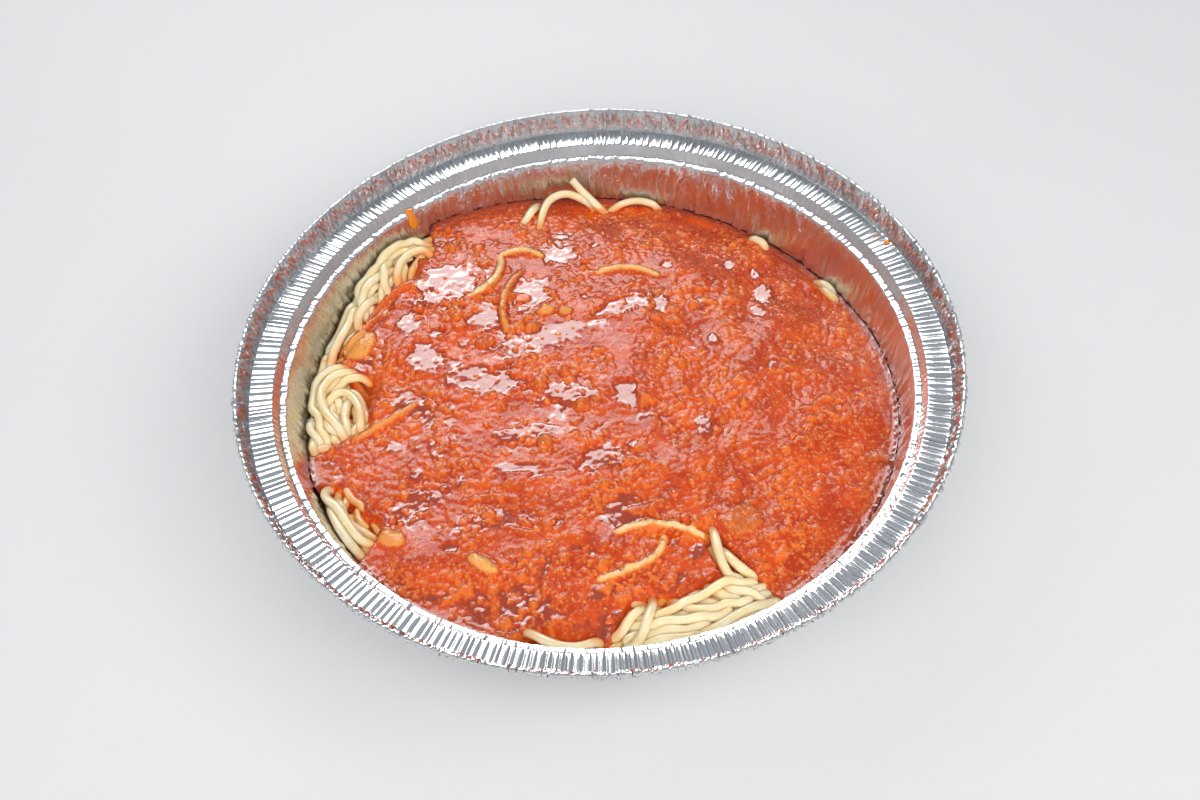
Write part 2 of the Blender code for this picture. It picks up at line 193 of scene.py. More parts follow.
# Pools that shine in the photograph: middle pixel, half length, half width and turn in the picture
SAUCE_POOLS = (
    (426, 357, 20, 16, -30),
    (487, 381, 42, 14, -8),
    (572, 394, 28, 10, -5),
    (625, 396, 14, 13, 0),
    (531, 295, 20, 17, 20),
    (544, 339, 62, 12, 16),
    (627, 304, 34, 9, 22),
    (448, 285, 36, 24, 20),
    (487, 317, 20, 14, 0),
    (527, 433, 42, 8, 8),
    (516, 468, 28, 5, 0),
    (601, 459, 26, 13, 20),
    (660, 300, 9, 10, 0),
    (706, 426, 9, 11, 0),
    (764, 281, 10, 13, 0),
    (758, 301, 7, 7, 0),
    (728, 253, 5, 6, 0),
    (756, 260, 6, 5, 0),
    (713, 336, 6, 6, 0),
    (409, 321, 14, 12, 0),
    (378, 514, 16, 9, -15),
    (392, 442, 8, 6, 0),
    (416, 490, 8, 4, 0),
    (437, 452, 8, 5, 0),
    (451, 545, 8, 5, 0),
    (545, 567, 4, 14, -15),
    (602, 589, 15, 9, 20),
    (672, 585, 22, 6, 50),
    (698, 550, 10, 7, 40),
    (620, 611, 10, 4, 0),
    (560, 250, 22, 10, 5),
    (700, 300, 7, 7, 0),
)
# Height of the food at which the pools' pixels are placed
POOL_HEIGHT = 26.0

# What is drawn at random in the sauce
SMALL_POOLS = 50
FAINT_STRANDS = 24
PEPPER_SPECKS = 60

# Meat in the sauce: size of a crumb, place in the pattern, share of cells kept, rise
CRUMB_SIZES = (
    (3.6, 31.0, 0.14, 1.3),
    (2.2, 37.0, 0.34, 0.9),
    (1.35, 43.0, 0.55, 0.55),
    (0.95, 47.0, 0.6, 0.3),
)


def polar(radius, degrees):
    turn = np.radians(degrees)
    return radius * np.cos(turn), radius * np.sin(turn)


def directions_of(x, y):
    return np.degrees(np.arctan2(y, x))


def turn_between(degrees, middle):
    return (degrees - middle + 180.0) % 360.0 - 180.0


def wall_radius(height):
    """The foil wall's inner radius at a height."""
    share = (height - WALL_FOOT[1]) / (SHELF_INNER[1] - WALL_FOOT[1])
    return WALL_FOOT[0] + (SHELF_INNER[0] - WALL_FOOT[0]) * np.minimum(share, 1.0)


def height_at_wall(degrees):
    total = WALL_HEIGHT + 0.0 * degrees
    for middle, width, amount in WALL_LOBES:
        total = total + amount * np.exp(-((turn_between(degrees, middle) / width) ** 2))
    return total


def food_height(x, y):
    """The mounded surface of the food, without its relief."""
    share = np.minimum(1.0, np.hypot(x, y) / FOOD_EDGE_RADIUS)
    at_wall = height_at_wall(directions_of(x, y))
    return MIDDLE_HEIGHT + (at_wall - MIDDLE_HEIGHT) * share * share


def wrinkle_share(height):
    """How deep the wall's wrinkles are at a height, where 1 is their full depth."""
    return (0.35 + height / 34.0) * (1.0 - 0.7 * smooth_step(height, 26.0, 32.0))


def wall_wrinkle(degrees, height):
    """Irregular upright wrinkles in the foil wall, positive where it bulges inwards."""
    x, y = polar(80.0, degrees)
    table = []
    for a, b, h in zip(x, y, height):
        coarse = noise.noise(Vector((a / 1.5, b / 1.5, h / 7.0)))
        fine = noise.noise(Vector((a / 0.8, b / 0.8, h / 4.5 + 5.0)))
        table.append(1.2 * coarse + 0.6 * fine)
    return np.array(table)


def bay_share(degrees):
    """How far into a bay a direction lies, from 0 on the wall to 1 in the bay's bottom."""
    total = 0.0 * degrees
    for middle, width, _ in SAUCE_BAYS:
        total = np.maximum(total, 1.0 - np.abs(turn_between(degrees, middle) / width) ** 4)
    return total


def sauce_edge(degrees):
    """The sauce's outline, which meets the wall and draws back from it in wavering bays."""
    full = wall_radius(height_at_wall(degrees))
    radius = full
    for middle, width, reach in SAUCE_BAYS:
        bay = smooth_step(1.0 - np.abs(turn_between(degrees, middle) / width) ** 3, 0.0, 1.0)
        radius = np.minimum(radius, full - (full - reach) * bay)
    turn = np.radians(degrees)
    waver = np.sin(17 * turn + 1.1) + 0.7 * np.sin(29 * turn + 0.3) + 0.6 * np.sin(53 * turn)
    return radius - 0.7 * (1.0 + waver) * np.clip((full - radius) / 3.0, 0.0, 1.0)


def noise_at(x, y, size, place, stretch=1.0, lean=0.0):
    """Smooth noise from -1 to 1 at each point, its lumps longer along the lean."""
    turn = math.radians(lean)
    along = (x * math.cos(turn) + y * math.sin(turn)) / (size * stretch)
    across = (y * math.cos(turn) - x * math.sin(turn)) / size
    return np.array([noise.noise(Vector((a, b, place))) for a, b in zip(along, across)])


def smooth_max(a, b, blend):
    share = np.clip(0.5 + 0.5 * (a - b) / blend, 0.0, 1.0)
    return b * (1.0 - share) + a * share + blend * share * (1.0 - share)


def smooth_step(value, low, high):
    share = np.clip((value - low) / (high - low), 0.0, 1.0)
    return share * share * (3.0 - 2.0 * share)


def mesh_piece(name, points, faces, finish, slot, replaced, attributes=None):
    """A shown piece from points in millimetres, riding on the part's one body."""
    mesh = bpy.data.meshes.new(name)
    mesh.from_pydata((np.asarray(points) * MM).tolist(), [], faces)
    mesh.materials.append(finish)
    mesh.shade_smooth()
    for label, values in (attributes or {}).items():
        layer = mesh.attributes.new(label, "FLOAT", "POINT")
        layer.data.foreach_set("value", np.asarray(values, np.float32))
    piece = bpy.data.objects.new(name, mesh)
    bpy.context.scene.collection.objects.link(piece)
    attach(piece, BODY)
    if replaced:
        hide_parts(replaced)
    return piece


def ring_faces(low, high, count):
    """Quads between two closed rings, given by the number of each ring's first point."""
    faces = []
    for c in range(count):
        after = (c + 1) % count
        faces.append((low + c, high + c, high + after, low + after))
    return faces


def grid_faces(rows, columns):
    """Quads between closed rings of points that follow each other."""
    faces = []
    for row in range(rows - 1):
        faces += ring_faces(row * columns, (row + 1) * columns, columns)
    return faces


def as_one_mesh(tables):
    """The points and faces of several small meshes as those of one."""
    points, faces, count = [], [], 0
    for table, own in tables:
        faces += [tuple(i + count for i in face) for face in own]
        points.append(table)
        count += len(table)
    return np.vstack(points), faces


def sheet_points(edge, spacing, margin):
    """A slightly uneven triangular grid of points inside an outline, as two arrays."""
    draw = np.random.default_rng(7)
    row_height = spacing * math.sqrt(3) / 2
    reach = math.ceil((FOOD_EDGE_RADIUS + 3) / row_height)
    i, j = np.meshgrid(np.arange(-reach, reach + 1), np.arange(-reach, reach + 1))
    x = (i + 0.5 * (j % 2)) * spacing + draw.uniform(-0.15, 0.15, i.shape) * spacing
    y = j * row_height + draw.uniform(-0.15, 0.15, i.shape) * spacing
    inside = np.hypot(x, y) < edge(directions_of(x, y)) - margin
    return x[inside], y[inside]


def triangulated(outline_x, outline_y, x, y):
    """Joins an outline and the points inside it into triangles."""
    count = len(outline_x)
    flat = [Vector(p) for p in zip(np.r_[outline_x, x], np.r_[outline_y, y])]
    edges = [(i, (i + 1) % count) for i in range(count)]
    verts, _, faces, _, _, _ = delaunay_2d_cdt(flat, edges, [], 1, 1e-7, False)
    places = np.array([(v.x, v.y) for v in verts])
    return places[:, 0], places[:, 1], [tuple(f) for f in faces]


def arc_points(arc, step):
    """Points along an arc that lies over the food, as an array."""
    middle_x, middle_y, radius, first, last, lift = arc
    count = max(4, round(radius * math.radians(abs(last - first)) / step))
    x, y = polar(radius, np.linspace(first, last, count + 1))
    x, y = x + middle_x, y + middle_y
    return np.stack([x, y, food_height(x, y) + lift], axis=1)


class NodeBuilder:
    """Adds shader nodes to a material or group and links them by name."""

    def __init__(self, tree):
        self.tree = tree

    def add(self, kind, inputs=None, **settings):
        node = self.tree.nodes.new(kind)
        for name, value in settings.items():
            setattr(node, name, value)
        for name, value in (inputs or {}).items():
            self.feed(node.inputs[name], value)
        return node

    def feed(self, socket, value):
        if isinstance(value, bpy.types.NodeSocket):
            self.tree.links.new(value, socket)
        else:
            socket.default_value = value

    def math(self, operation, first, second=0.0, third=0.0):
        inputs = {0: first, 1: second, 2: third}
        return self.add("ShaderNodeMath", inputs, operation=operation).outputs[0]

    def mix(self, factor, first, second):
        node = self.add("ShaderNodeMix", data_type="RGBA")
        for socket, value in zip((node.inputs[0], node.inputs[6], node.inputs[7]), (factor, first, second)):
            self.feed(socket, value)
        return node.outputs[2]

    def ramp(self, value, low, high):
        """A value stretched so that low gives 0 and high gives 1."""
        limits = {"Value": value, "From Min": low, "From Max": high}
        return self.add("ShaderNodeMapRange", limits, interpolation_type="SMOOTHSTEP").outputs[0]

    def noise(self, vector, scale, detail=3.0, roughness=0.55):
        values = {"Vector": vector, "Scale": scale, "Detail": detail, "Roughness": roughness}
        return self.add("ShaderNodeTexNoise", values).outputs["Fac"]

    def attribute(self, name):
        return self.add("ShaderNodeAttribute", attribute_name=name).outputs["Fac"]

    def bump(self, shader, strength, depth, height):
        """Bends a shader's normals by a height. The depth is in millimetres."""
        values = {"Strength": strength, "Distance": depth * MM, "Height": height}
        node = self.add("ShaderNodeBump", values)
        self.feed(shader.inputs["Normal"], node.outputs["Normal"])

    def place(self):
        """The point's place in the piece's own frame, in metres."""
        return self.add("ShaderNodeTexCoord").outputs["Object"]


def shader_group(name, inputs, outputs):
    """An empty node group with the named sockets, its builder and its two end nodes."""
    group = bpy.data.node_groups.new(name, "ShaderNodeTree")
    for label, kind, default in inputs:
        socket = group.interface.new_socket(label, in_out="INPUT", socket_type=kind)
        socket.default_value = default
    for label, kind in outputs:
        group.interface.new_socket(label, in_out="OUTPUT", socket_type=kind)
    builder = NodeBuilder(group)
    return group, builder, builder.add("NodeGroupInput"), builder.add("NodeGroupOutput")


def grain_group():
    """Fine crumb grain of two sizes: a height for Bump and a mask of its paler specks."""
    inputs = (
        ("Grain Size", "NodeSocketFloat", 0.8),
        ("Speck Size", "NodeSocketFloat", 0.5),
    )
    outputs = (("Height", "NodeSocketFloat"), ("Specks", "NodeSocketFloat"))
    group, build, given, result = shader_group("Food grain", inputs, outputs)
    place = build.place()
    coarse_scale = build.math("DIVIDE", 1.0 / MM, given.outputs["Grain Size"])
    fine_scale = build.math("DIVIDE", 1.0 / MM, given.outputs["Speck Size"])
    coarse = build.noise(place, coarse_scale, 2.0)
    cells = build.add("ShaderNodeTexVoronoi", {"Vector": place, "Scale": fine_scale}, feature="F1")
    lumps = build.ramp(cells.outputs["Distance"], 0.55, 0.05)
    chosen = build.ramp(cells.outputs["Color"], 0.35, 0.62)
    specks = build.math("MULTIPLY", lumps, chosen)
    build.feed(result.inputs["Height"], build.math("MULTIPLY_ADD", specks, 0.5, coarse))
    build.feed(result.inputs["Specks"], specks)
    return group


def mottle_group():
    """Soft cloudy patches between two colours: the colour and the mask of the patches."""
    inputs = (
        ("First", "NodeSocketColor", (1.0, 1.0, 1.0, 1.0)),
        ("Second", "NodeSocketColor", (0.8, 0.8, 0.8, 1.0)),
        ("Patch Size", "NodeSocketFloat", 4.0),
    )
    outputs = (("Color", "NodeSocketColor"), ("Mask", "NodeSocketFloat"))
    group, build, given, result = shader_group("Mottle", inputs, outputs)
    scale = build.math("DIVIDE", 1.0 / MM, given.outputs["Patch Size"])
    mask = build.ramp(build.noise(build.place(), scale, 4.0), 0.32, 0.7)
    build.feed(result.inputs["Color"], build.mix(mask, given.outputs["First"], given.outputs["Second"]))
    build.feed(result.inputs["Mask"], mask)
    return group


def mottled(build, first, second, patch_size):
    """Places the mottle group in a material. Returns its node."""
    group = bpy.data.node_groups.get("Mottle") or mottle_group()
    node = build.add("ShaderNodeGroup", node_tree=group)
    node.inputs["First"].default_value = colour(first)
    node.inputs["Second"].default_value = colour(second)
    node.inputs["Patch Size"].default_value = patch_size
    return node


def new_material(name):
    made = bpy.data.materials.new(name)
    made.use_nodes = True
    made.node_tree.nodes.clear()
    build = NodeBuilder(made.node_tree)
    shader = build.add("ShaderNodeBsdfPrincipled")
    end = build.add("ShaderNodeOutputMaterial")
    build.feed(end.inputs["Surface"], shader.outputs["BSDF"])
    return made, build, shader


def colour(values):
    return (*values, 1.0)


def foil_material(settings):
    """Bright rolled aluminium, a little cloudy, with fine creases."""
    made, build, shader = new_material("Bright foil")
    place = build.place()
    parts = build.add("ShaderNodeSeparateXYZ", {"Vector": place})
    lengthwise = build.math("MULTIPLY", parts.outputs["Z"], 260.0)
    ring_x, ring_y = build.attribute("ring_x"), build.attribute("ring_y")
    streak = build.add("ShaderNodeCombineXYZ", {"X": ring_x, "Y": ring_y, "Z": lengthwise})
    crease = build.noise(streak.outputs["Vector"], 1.3, 3.0, 0.65)
    tarnish = mottled(build, settings.foil_colour, [0.86 * c for c in settings.foil_colour], 11.0)
    cloud = tarnish.outputs["Mask"]
    build.feed(shader.inputs["Base Color"], tarnish.outputs["Color"])
    shader.inputs["Metallic"].default_value = 1.0
    roughness = build.math("MULTIPLY_ADD", cloud, 0.12, settings.foil_roughness)
    build.feed(shader.inputs["Roughness"], roughness)
    crease = build.math("MULTIPLY", crease, build.attribute("creased"))
    build.bump(shader, 0.9, 0.42, crease)
    return made


def spaghetti_material(settings):
    """Pale moist pasta that takes up orange oil where it nears the sauce, with painted shade: a darker,
    deeper yellow low in the heap.
    """
    made, build, shader = new_material("Cooked spaghetti")
    place = build.place()
    stain = build.attribute("stain")
    # Painted shade: the depth attribute mixes the pasta towards a darker, deeper yellow low in the heap
    depth = build.attribute("depth")
    dough = mottled(build, settings.pasta_colour, settings.pasta_pale, 3.8)
    mottle = dough.outputs["Mask"]
    painted_shade_low = build.mix(depth, dough.outputs["Color"], colour(settings.pasta_painted_shade))
    patchy = build.math("MULTIPLY", stain, build.ramp(build.noise(place, 120.0, 2.0), 0.2, 0.7))
    build.feed(shader.inputs["Base Color"], build.mix(patchy, painted_shade_low, colour(settings.oil_colour)))
    shader.inputs["Roughness"].default_value = 0.3
    shader.inputs["Subsurface Weight"].default_value = 0.6
    shader.inputs["Subsurface Radius"].default_value = (0.8, 0.65, 0.4)
    shader.inputs["Subsurface Scale"].default_value = 2.0 * MM
    shader.inputs["Coat Weight"].default_value = 0.3
    shader.inputs["Coat Roughness"].default_value = 0.12
    build.bump(shader, 0.2, 0.15, mottle)
    return made


def sauce_material(settings, grain):
    """Wet tomato sauce: red hollows, orange crumbs, and thin film that lets strands show."""
    made, build, shader = new_material("Meat sauce")
    crumb = build.attribute("crumb")
    strand = build.attribute("strand")
    pool = build.attribute("pool")
    specks = build.add("ShaderNodeGroup", node_tree=grain)
    specks.inputs["Grain Size"].default_value = 0.8
    specks.inputs["Speck Size"].default_value = 1.05
    base = mottled(build, settings.sauce_deep, settings.sauce_colour, 7.0).outputs["Color"]
    meat = build.math("MULTIPLY", build.ramp(crumb, 0.05, 0.65), 0.7)
    speck = build.math("MULTIPLY", specks.outputs["Specks"], build.math("MULTIPLY_ADD", meat, 0.6, 0.5))
    lighter = build.mix(speck, base, colour(settings.crumb_pale))
    pooled = build.mix(build.math("MULTIPLY", pool, 0.9), lighter, colour(settings.pool_colour))
    crumbed = build.mix(meat, pooled, colour(settings.crumb_colour))
    clean = build.ramp(strand, 0.5, 1.0)
    film = build.mix(clean, colour(settings.coated_colour), colour(settings.coated_pale))
    build.feed(shader.inputs["Base Color"], build.mix(build.ramp(strand, 0.0, 0.6), crumbed, film))
    build.feed(shader.inputs["Roughness"], build.math("MULTIPLY_ADD", pool, -0.1, settings.sauce_roughness))
    build.feed(shader.inputs["Coat Weight"], build.math("MULTIPLY_ADD", pool, 0.7, 0.25))
    shader.inputs["Subsurface Weight"].default_value = 0.15
    shader.inputs["Subsurface Radius"].default_value = (1.0, 0.25, 0.08)
    shader.inputs["Subsurface Scale"].default_value = 1.2 * MM
    shader.inputs["Specular IOR Level"].default_value = 0.15
    shader.inputs["Coat IOR"].default_value = 1.7
    shader.inputs["Coat Roughness"].default_value = 0.07
    outside_pool = build.math("MULTIPLY_ADD", pool, -0.7, 1.0)
    grain_height = build.math("MULTIPLY", specks.outputs["Height"], outside_pool)
    build.bump(shader, 0.85, 0.4, grain_height)
    return made


def crumb_material(settings, grain):
    """Minced meat under a film of sauce, each crumb in a tone of its own."""
    made, build, shader = new_material("Minced meat")
    tone = build.attribute("tone")
    specks = build.add("ShaderNodeGroup", node_tree=grain)
    specks.inputs["Grain Size"].default_value = 0.7
    specks.inputs["Speck Size"].default_value = 0.5
    body = build.mix(tone, colour(settings.sauce_colour), colour(settings.crumb_colour))
    speck = build.math("MULTIPLY", specks.outputs["Specks"], 0.5)
    speckled = build.mix(speck, body, colour(settings.crumb_pale))
    build.feed(shader.inputs["Base Color"], speckled)
    shader.inputs["Roughness"].default_value = 0.25
    shader.inputs["Subsurface Weight"].default_value = 0.2
    shader.inputs["Subsurface Radius"].default_value = (1.0, 0.3, 0.1)
    shader.inputs["Subsurface Scale"].default_value = 1.0 * MM
    shader.inputs["Coat Weight"].default_value = 0.7
    shader.inputs["Coat Roughness"].default_value = 0.08
    build.bump(shader, 0.5, 0.2, specks.outputs["Height"])
    return made


def plain_material(name, tone, roughness, coat=0.0, patch_size=2.5, darker=0.8):
    """One colour, slightly mottled."""
    made, build, shader = new_material(name)
    mottle = mottled(build, tone, [darker * c for c in tone], patch_size)
    build.feed(shader.inputs["Base Color"], mottle.outputs["Color"])
    shader.inputs["Roughness"].default_value = roughness
    shader.inputs["Coat Weight"].default_value = coat
    return made


class PanSettings(bpy.types.PropertyGroup):
    flutes: IntProperty(
        name="Flutes", description="Pleats round the rim", default=320, min=60, max=600
    )
    flute_depth: FloatProperty(
        name="Flute depth", description="Height of a pleat on the ledge", default=0.0003, unit="LENGTH"
    )
    crimp_depth: FloatProperty(
        name="Crimp depth", description="Depth of a pleat in the flange", default=0.0009, unit="LENGTH"
    )
    wrinkle_depth: FloatProperty(
        name="Wrinkle depth", description="Depth of the wall's wrinkles", default=0.0005, unit="LENGTH"
    )
    foil_thickness: FloatProperty(
        name="Foil thickness", description="Thickness of the foil", default=0.00015, unit="LENGTH"
    )
    foil_colour: FloatVectorProperty(
        name="Foil colour", description="Colour of clean foil", default=(0.885, 0.89, 0.90), subtype="COLOR"
    )
    foil_roughness: FloatProperty(
        name="Foil roughness", description="Least roughness of the foil", default=0.13, min=0.0, max=1.0
    )


class SpaghettiSettings(bpy.types.PropertyGroup):
    strand_radius: FloatProperty(
        name="Strand radius", description="Half the thickness of a strand", default=0.0012, unit="LENGTH"
    )
    loose_strands: IntProperty(
        name="Loose strands", description="Strands drawn at random into the bays",
        default=36, min=0, max=200
    )
    settle_steps: IntProperty(
        name="Settle steps", description="Steps that push crossing strands apart",
        default=45, min=0, max=200
    )
    pasta_colour: FloatVectorProperty(
        name="Pasta colour", description="Colour of a strand", default=(0.96, 0.72, 0.39), subtype="COLOR"
    )
    pasta_pale: FloatVectorProperty(
        name="Pale pasta", description="Colour of its palest places",
        default=(0.98, 0.82, 0.56), subtype="COLOR"
    )
    # Painted shade: the darker colour given to pasta low in the heap, where shade falls
    pasta_painted_shade: FloatVectorProperty(
        name="Painted shade of pasta", description="Colour low in the heap", default=(0.92, 0.54, 0.16), subtype="COLOR"
    )
    oil_colour: FloatVectorProperty(
        name="Oil colour", description="Colour of pasta stained by sauce",
        default=(0.88, 0.33, 0.06), subtype="COLOR"
    )


class SauceSettings(bpy.types.PropertyGroup):
    spacing: FloatProperty(
        name="Spacing", description="Distance between the surface's points", default=0.00056, unit="LENGTH"
    )
    relief: FloatProperty(
        name="Relief", description="Height of the sauce's broad lumps", default=0.0015, unit="LENGTH"
    )
    loose_crumbs: IntProperty(
        name="Loose crumbs", description="Crumbs that stand out of the sauce", default=330, min=0, max=600
    )
    sauce_colour: FloatVectorProperty(
        name="Sauce colour", description="Colour of the sauce",
        default=(0.73, 0.080, 0.006), subtype="COLOR"
    )
    sauce_deep: FloatVectorProperty(
        name="Deep sauce", description="Colour in its hollows",
        default=(0.50, 0.036, 0.003), subtype="COLOR"
    )
    crumb_colour: FloatVectorProperty(
        name="Crumb colour", description="Colour of coated meat",
        default=(0.92, 0.22, 0.028), subtype="COLOR"
    )
    crumb_pale: FloatVectorProperty(
        name="Pale crumb", description="Colour of the palest meat",
        default=(0.92, 0.42, 0.14), subtype="COLOR"
    )
    coated_colour: FloatVectorProperty(
        name="Coated strand", description="Colour of a strand under a thin film",
        default=(0.92, 0.40, 0.09), subtype="COLOR"
    )
    coated_pale: FloatVectorProperty(
        name="Cleanest strand", description="Colour of a coated strand's top", default=(0.93, 0.68, 0.35),
        subtype="COLOR",
    )
    pool_colour: FloatVectorProperty(
        name="Pool colour", description="Colour of the liquid in pools",
        default=(0.36, 0.038, 0.007), subtype="COLOR"
    )
    sauce_roughness: FloatProperty(
        name="Sauce roughness", description="Roughness away from the pools", default=0.28, min=0.0, max=1.0
    )


class StageSettings(bpy.types.PropertyGroup):
    elevation: FloatProperty(
        name="Elevation", description="Angle of the camera over the table",
        default=math.radians(PHOTO_TILT), subtype="ANGLE"
    )
    roll: FloatProperty(
        name="Roll", description="Turn of the camera about its line of sight",
        default=math.radians(PHOTO_ROLL), subtype="ANGLE"
    )
    distance: FloatProperty(
        name="Distance", description="From the camera to its target",
        default=PHOTO_DISTANCE * MM, unit="LENGTH"
    )
    target: FloatVectorProperty(
        name="Target", description="Point that the camera looks at",
        default=[MM * side for side in PHOTO_TARGET],
        subtype="TRANSLATION",
    )
    lens: FloatProperty(
        name="Lens", description="Focal length in millimetres", default=48.0, min=10.0, max=200.0
    )
    floor_colour: FloatVectorProperty(
        name="Floor colour", description="Colour of the table", default=(0.80, 0.80, 0.80), subtype="COLOR"
    )
    key_power: FloatProperty(
        name="Key power", description="Strength of the soft light behind, in watts", default=4.7, min=0.0
    )
    veil_power: FloatProperty(
        name="Veil power", description="Strength of the low light behind on the left, in watts",
        default=8.5, min=0.0
    )
    overhead_power: FloatProperty(
        name="Overhead power", description="Strength of the broad light above, in watts",
        default=10.6, min=0.0
    )
    side_power: FloatProperty(
        name="Side power", description="Strength of the soft light on the right, in watts",
        default=4.2, min=0.0
    )
    fill_power: FloatProperty(
        name="Fill power", description="Strength of the soft light on the left, in watts",
        default=1.1, min=0.0
    )
    room_light: FloatProperty(
        name="Room light", description="Strength of the light from all round", default=1.0, min=0.0
    )


def settings_of(context):
    return context.scene.takeaway_pan, context.scene.takeaway_spaghetti, context.scene.takeaway_sauce


def pleats(count, draw):
    """Directions of the foil's columns, four to a pleat, and how far each is raised.

    A pleat has a narrow fold and a broad top that leans a little to either side.
    """
    widths = draw.uniform(0.55, 1.45, count)
    starts = np.concatenate([[0.0], np.cumsum(widths)[:-1]]) / widths.sum() * 360.0
    spans = widths / widths.sum() * 360.0
    rise = draw.uniform(0.14, 0.24, count)
    top = draw.uniform(0.42, 0.6, count)
    fall = draw.uniform(0.76, 0.88, count)
    folds = [starts, starts + rise * spans, starts + top * spans, starts + fall * spans]
    directions = np.stack(folds, axis=1)
    depth = draw.uniform(0.4, 1.25, count)
    lean = draw.normal(0.0, 0.24, count)
    raised = np.stack([-depth, depth * (0.7 - lean), 0.9 * depth, depth * (0.7 + lean)], axis=1)
    return directions.reshape(-1), raised.reshape(-1)


def pan_rows():
    """The foil's upper side from the middle out: radius, height, and the shares of its patterns.

    The patterns are wrinkles on the wall, creases on the shelf, flutes on the ledge and
    crimps in the flange.
    """
    rows = [(2.0, 0.25, 0, 0, 0, 0), (58.0, 0.25, 0, 0, 0, 0)]
    rows += [(60.0, 0.7, 0, 0, 0, 0), (63.0, 0.7, 0, 0, 0, 0), (65.0, 0.2, 0, 0, 0, 0)]
    rows += [(BOTTOM_RADIUS, 0.2, 0.1, 0, 0, 0), (*FOOT_BEND, 0.5, 0, 0, 0)]
    for height in (4.0, 9.0, 13.0, 16.5, 19.5, 22.0, 24.5, 27.0, 29.5, 31.6):
        rows.append((wall_radius(height), height, wrinkle_share(height), 0, 0, 0))
    rows += [(82.95, 32.4, 0.25, 0.3, 0, 0), (83.15, 32.64, 0.1, 0.9, 0, 0), (83.85, 32.72, 0, 1.0, 0, 0)]
    rows += [(84.4, 32.78, 0, 0.9, 0, 0), (84.5, 32.86, 0, 0.3, 0.05, 0), (84.57, 33.0, 0, 0, 0.1, 0)]
    rows += [(84.68, 33.2, 0, 0.2, 0.1, 0), (85.85, 35.15, 0, 0, 0.2, 0), (85.95, 35.32, 0, 0, 0.2, 0)]
    rows += [(86.05, 35.42, 0, 0, 0.5, 0)]
    rows += [(86.5, 35.45, 0, 0, 0.9, 0), (88.2, 35.45, 0, 0, 1.0, 0), (90.2, 35.45, 0, 0, 1.0, 0.03)]
    rows += [(91.8, 35.46, 0, 0, 0.95, 0.06), (92.25, 35.56, 0, 0, 0.5, 0.15), (92.45, 35.9, 0, 0, 0.1, 0.6)]
    rows += [(92.9, 37.3, 0.2, 0, 0, 1.0), (93.38, 38.7, 0.25, 0, 0, 1.0), (93.85, 40.0, 0.2, 0, 0, 1.0)]
    rows += [(94.15, 40.9, 0, 0, 0, 0.8), (94.5, 41.35, 0, 0, 0, 0.5), (94.9, 41.35, 0, 0, 0, 0.5)]
    rows += [(95.1, 40.95, 0, 0, 0, 0.6), (94.8, 40.5, 0, 0, 0, 0.8)]
    return np.array(rows)


def outward_normals(rows):
    """The unit normal of each row of a profile, in radius and height, to the left of its run."""
    along = np.gradient(rows[:, :2], axis=0)
    along /= np.linalg.norm(along, axis=1, keepdims=True)
    return np.stack([-along[:, 1], along[:, 0]], axis=1)


class TAKEAWAY_OT_press_pan(bpy.types.Operator):
    """Presses the fluted foil pan"""

    bl_idname = "takeaway.press_pan"
    bl_label = "Press Foil Pan"

    def execute(self, context):
        settings = settings_of(context)[0]
        draw = np.random.default_rng(3)
        directions, raised = pleats(settings.flutes, draw)
        upper = pan_rows()
        normals = outward_normals(upper)
        thickness = settings.foil_thickness / MM
        kept = [i for i in range(len(upper))[::-1] if upper[i, 1] not in HIDDEN_ROWS]
        lower = upper[kept].copy()
        lower[:, :2] -= normals[kept] * thickness
        rows = np.vstack([upper, lower])
        normals = np.vstack([normals, normals[kept]])
        columns = len(directions)
        wrinkles = self.wrinkle_table(rows, directions)
        creases = draw.uniform(-1.0, 1.0, columns) ** 3 - draw.choice([0.0, 0.0, 1.0], columns)
        crimps = draw.uniform(-1.0, 1.0, columns)
        shifts = [round(max(0.0, high - CRIMP_START) * 1.4) for high in rows[:, 1]]
        leaning = np.stack([0.6 * np.roll(crimps, shift) + 0.6 * np.roll(raised, -shift) for shift in shifts])
        push = (
            rows[:, 2:3] * wrinkles * settings.wrinkle_depth / MM
            + rows[:, 3:4] * creases * 0.2
            + rows[:, 4:5] * raised * settings.flute_depth / MM
            + rows[:, 5:6] * leaning * settings.crimp_depth / MM
        )
        radius = rows[:, :1] + normals[:, :1] * push
        height = rows[:, 1:2] + normals[:, 1:2] * push
        bend = 0.25 * np.sin(np.radians(2 * directions - 40)) + 0.12 * np.sin(np.radians(5 * directions))
        radius = radius + smooth_step(rows[:, 1:2], 28.0, 41.0) * bend
        x, y = polar(radius, directions)
        height = np.maximum(height, 0.02)
        points = np.stack([x, y, np.broadcast_to(height, x.shape)], axis=2).reshape(-1, 3)
        count = len(rows)
        faces = grid_faces(count, columns)
        faces.append(tuple(range(columns)))
        faces.append(tuple(range((count - 1) * columns, count * columns))[::-1])
        ring_x, ring_y = [np.broadcast_to(side, x.shape).reshape(-1) for side in polar(88.0, directions)]
        creased = 0.14 + 0.86 * np.minimum(1.0, rows[:, 2:3] * 4.0 + rows[:, 5:6] * 2.0)
        creased = np.broadcast_to(creased, x.shape).reshape(-1)
        finish = foil_material(settings)
        values = {"ring_x": ring_x, "ring_y": ring_y, "creased": creased}
        mesh_piece("foil_shell", points, faces, finish, "foil", "foil_pan", values)
        return {"FINISHED"}

    def wrinkle_table(self, rows, directions):
        """The wrinkle of each row and column, 0 where a row has none."""
        table = np.zeros((len(rows), len(directions)))
        for row in np.flatnonzero(rows[:, 2]):
            table[row] = wall_wrinkle(directions, np.full(len(directions), rows[row, 1]))
        return table


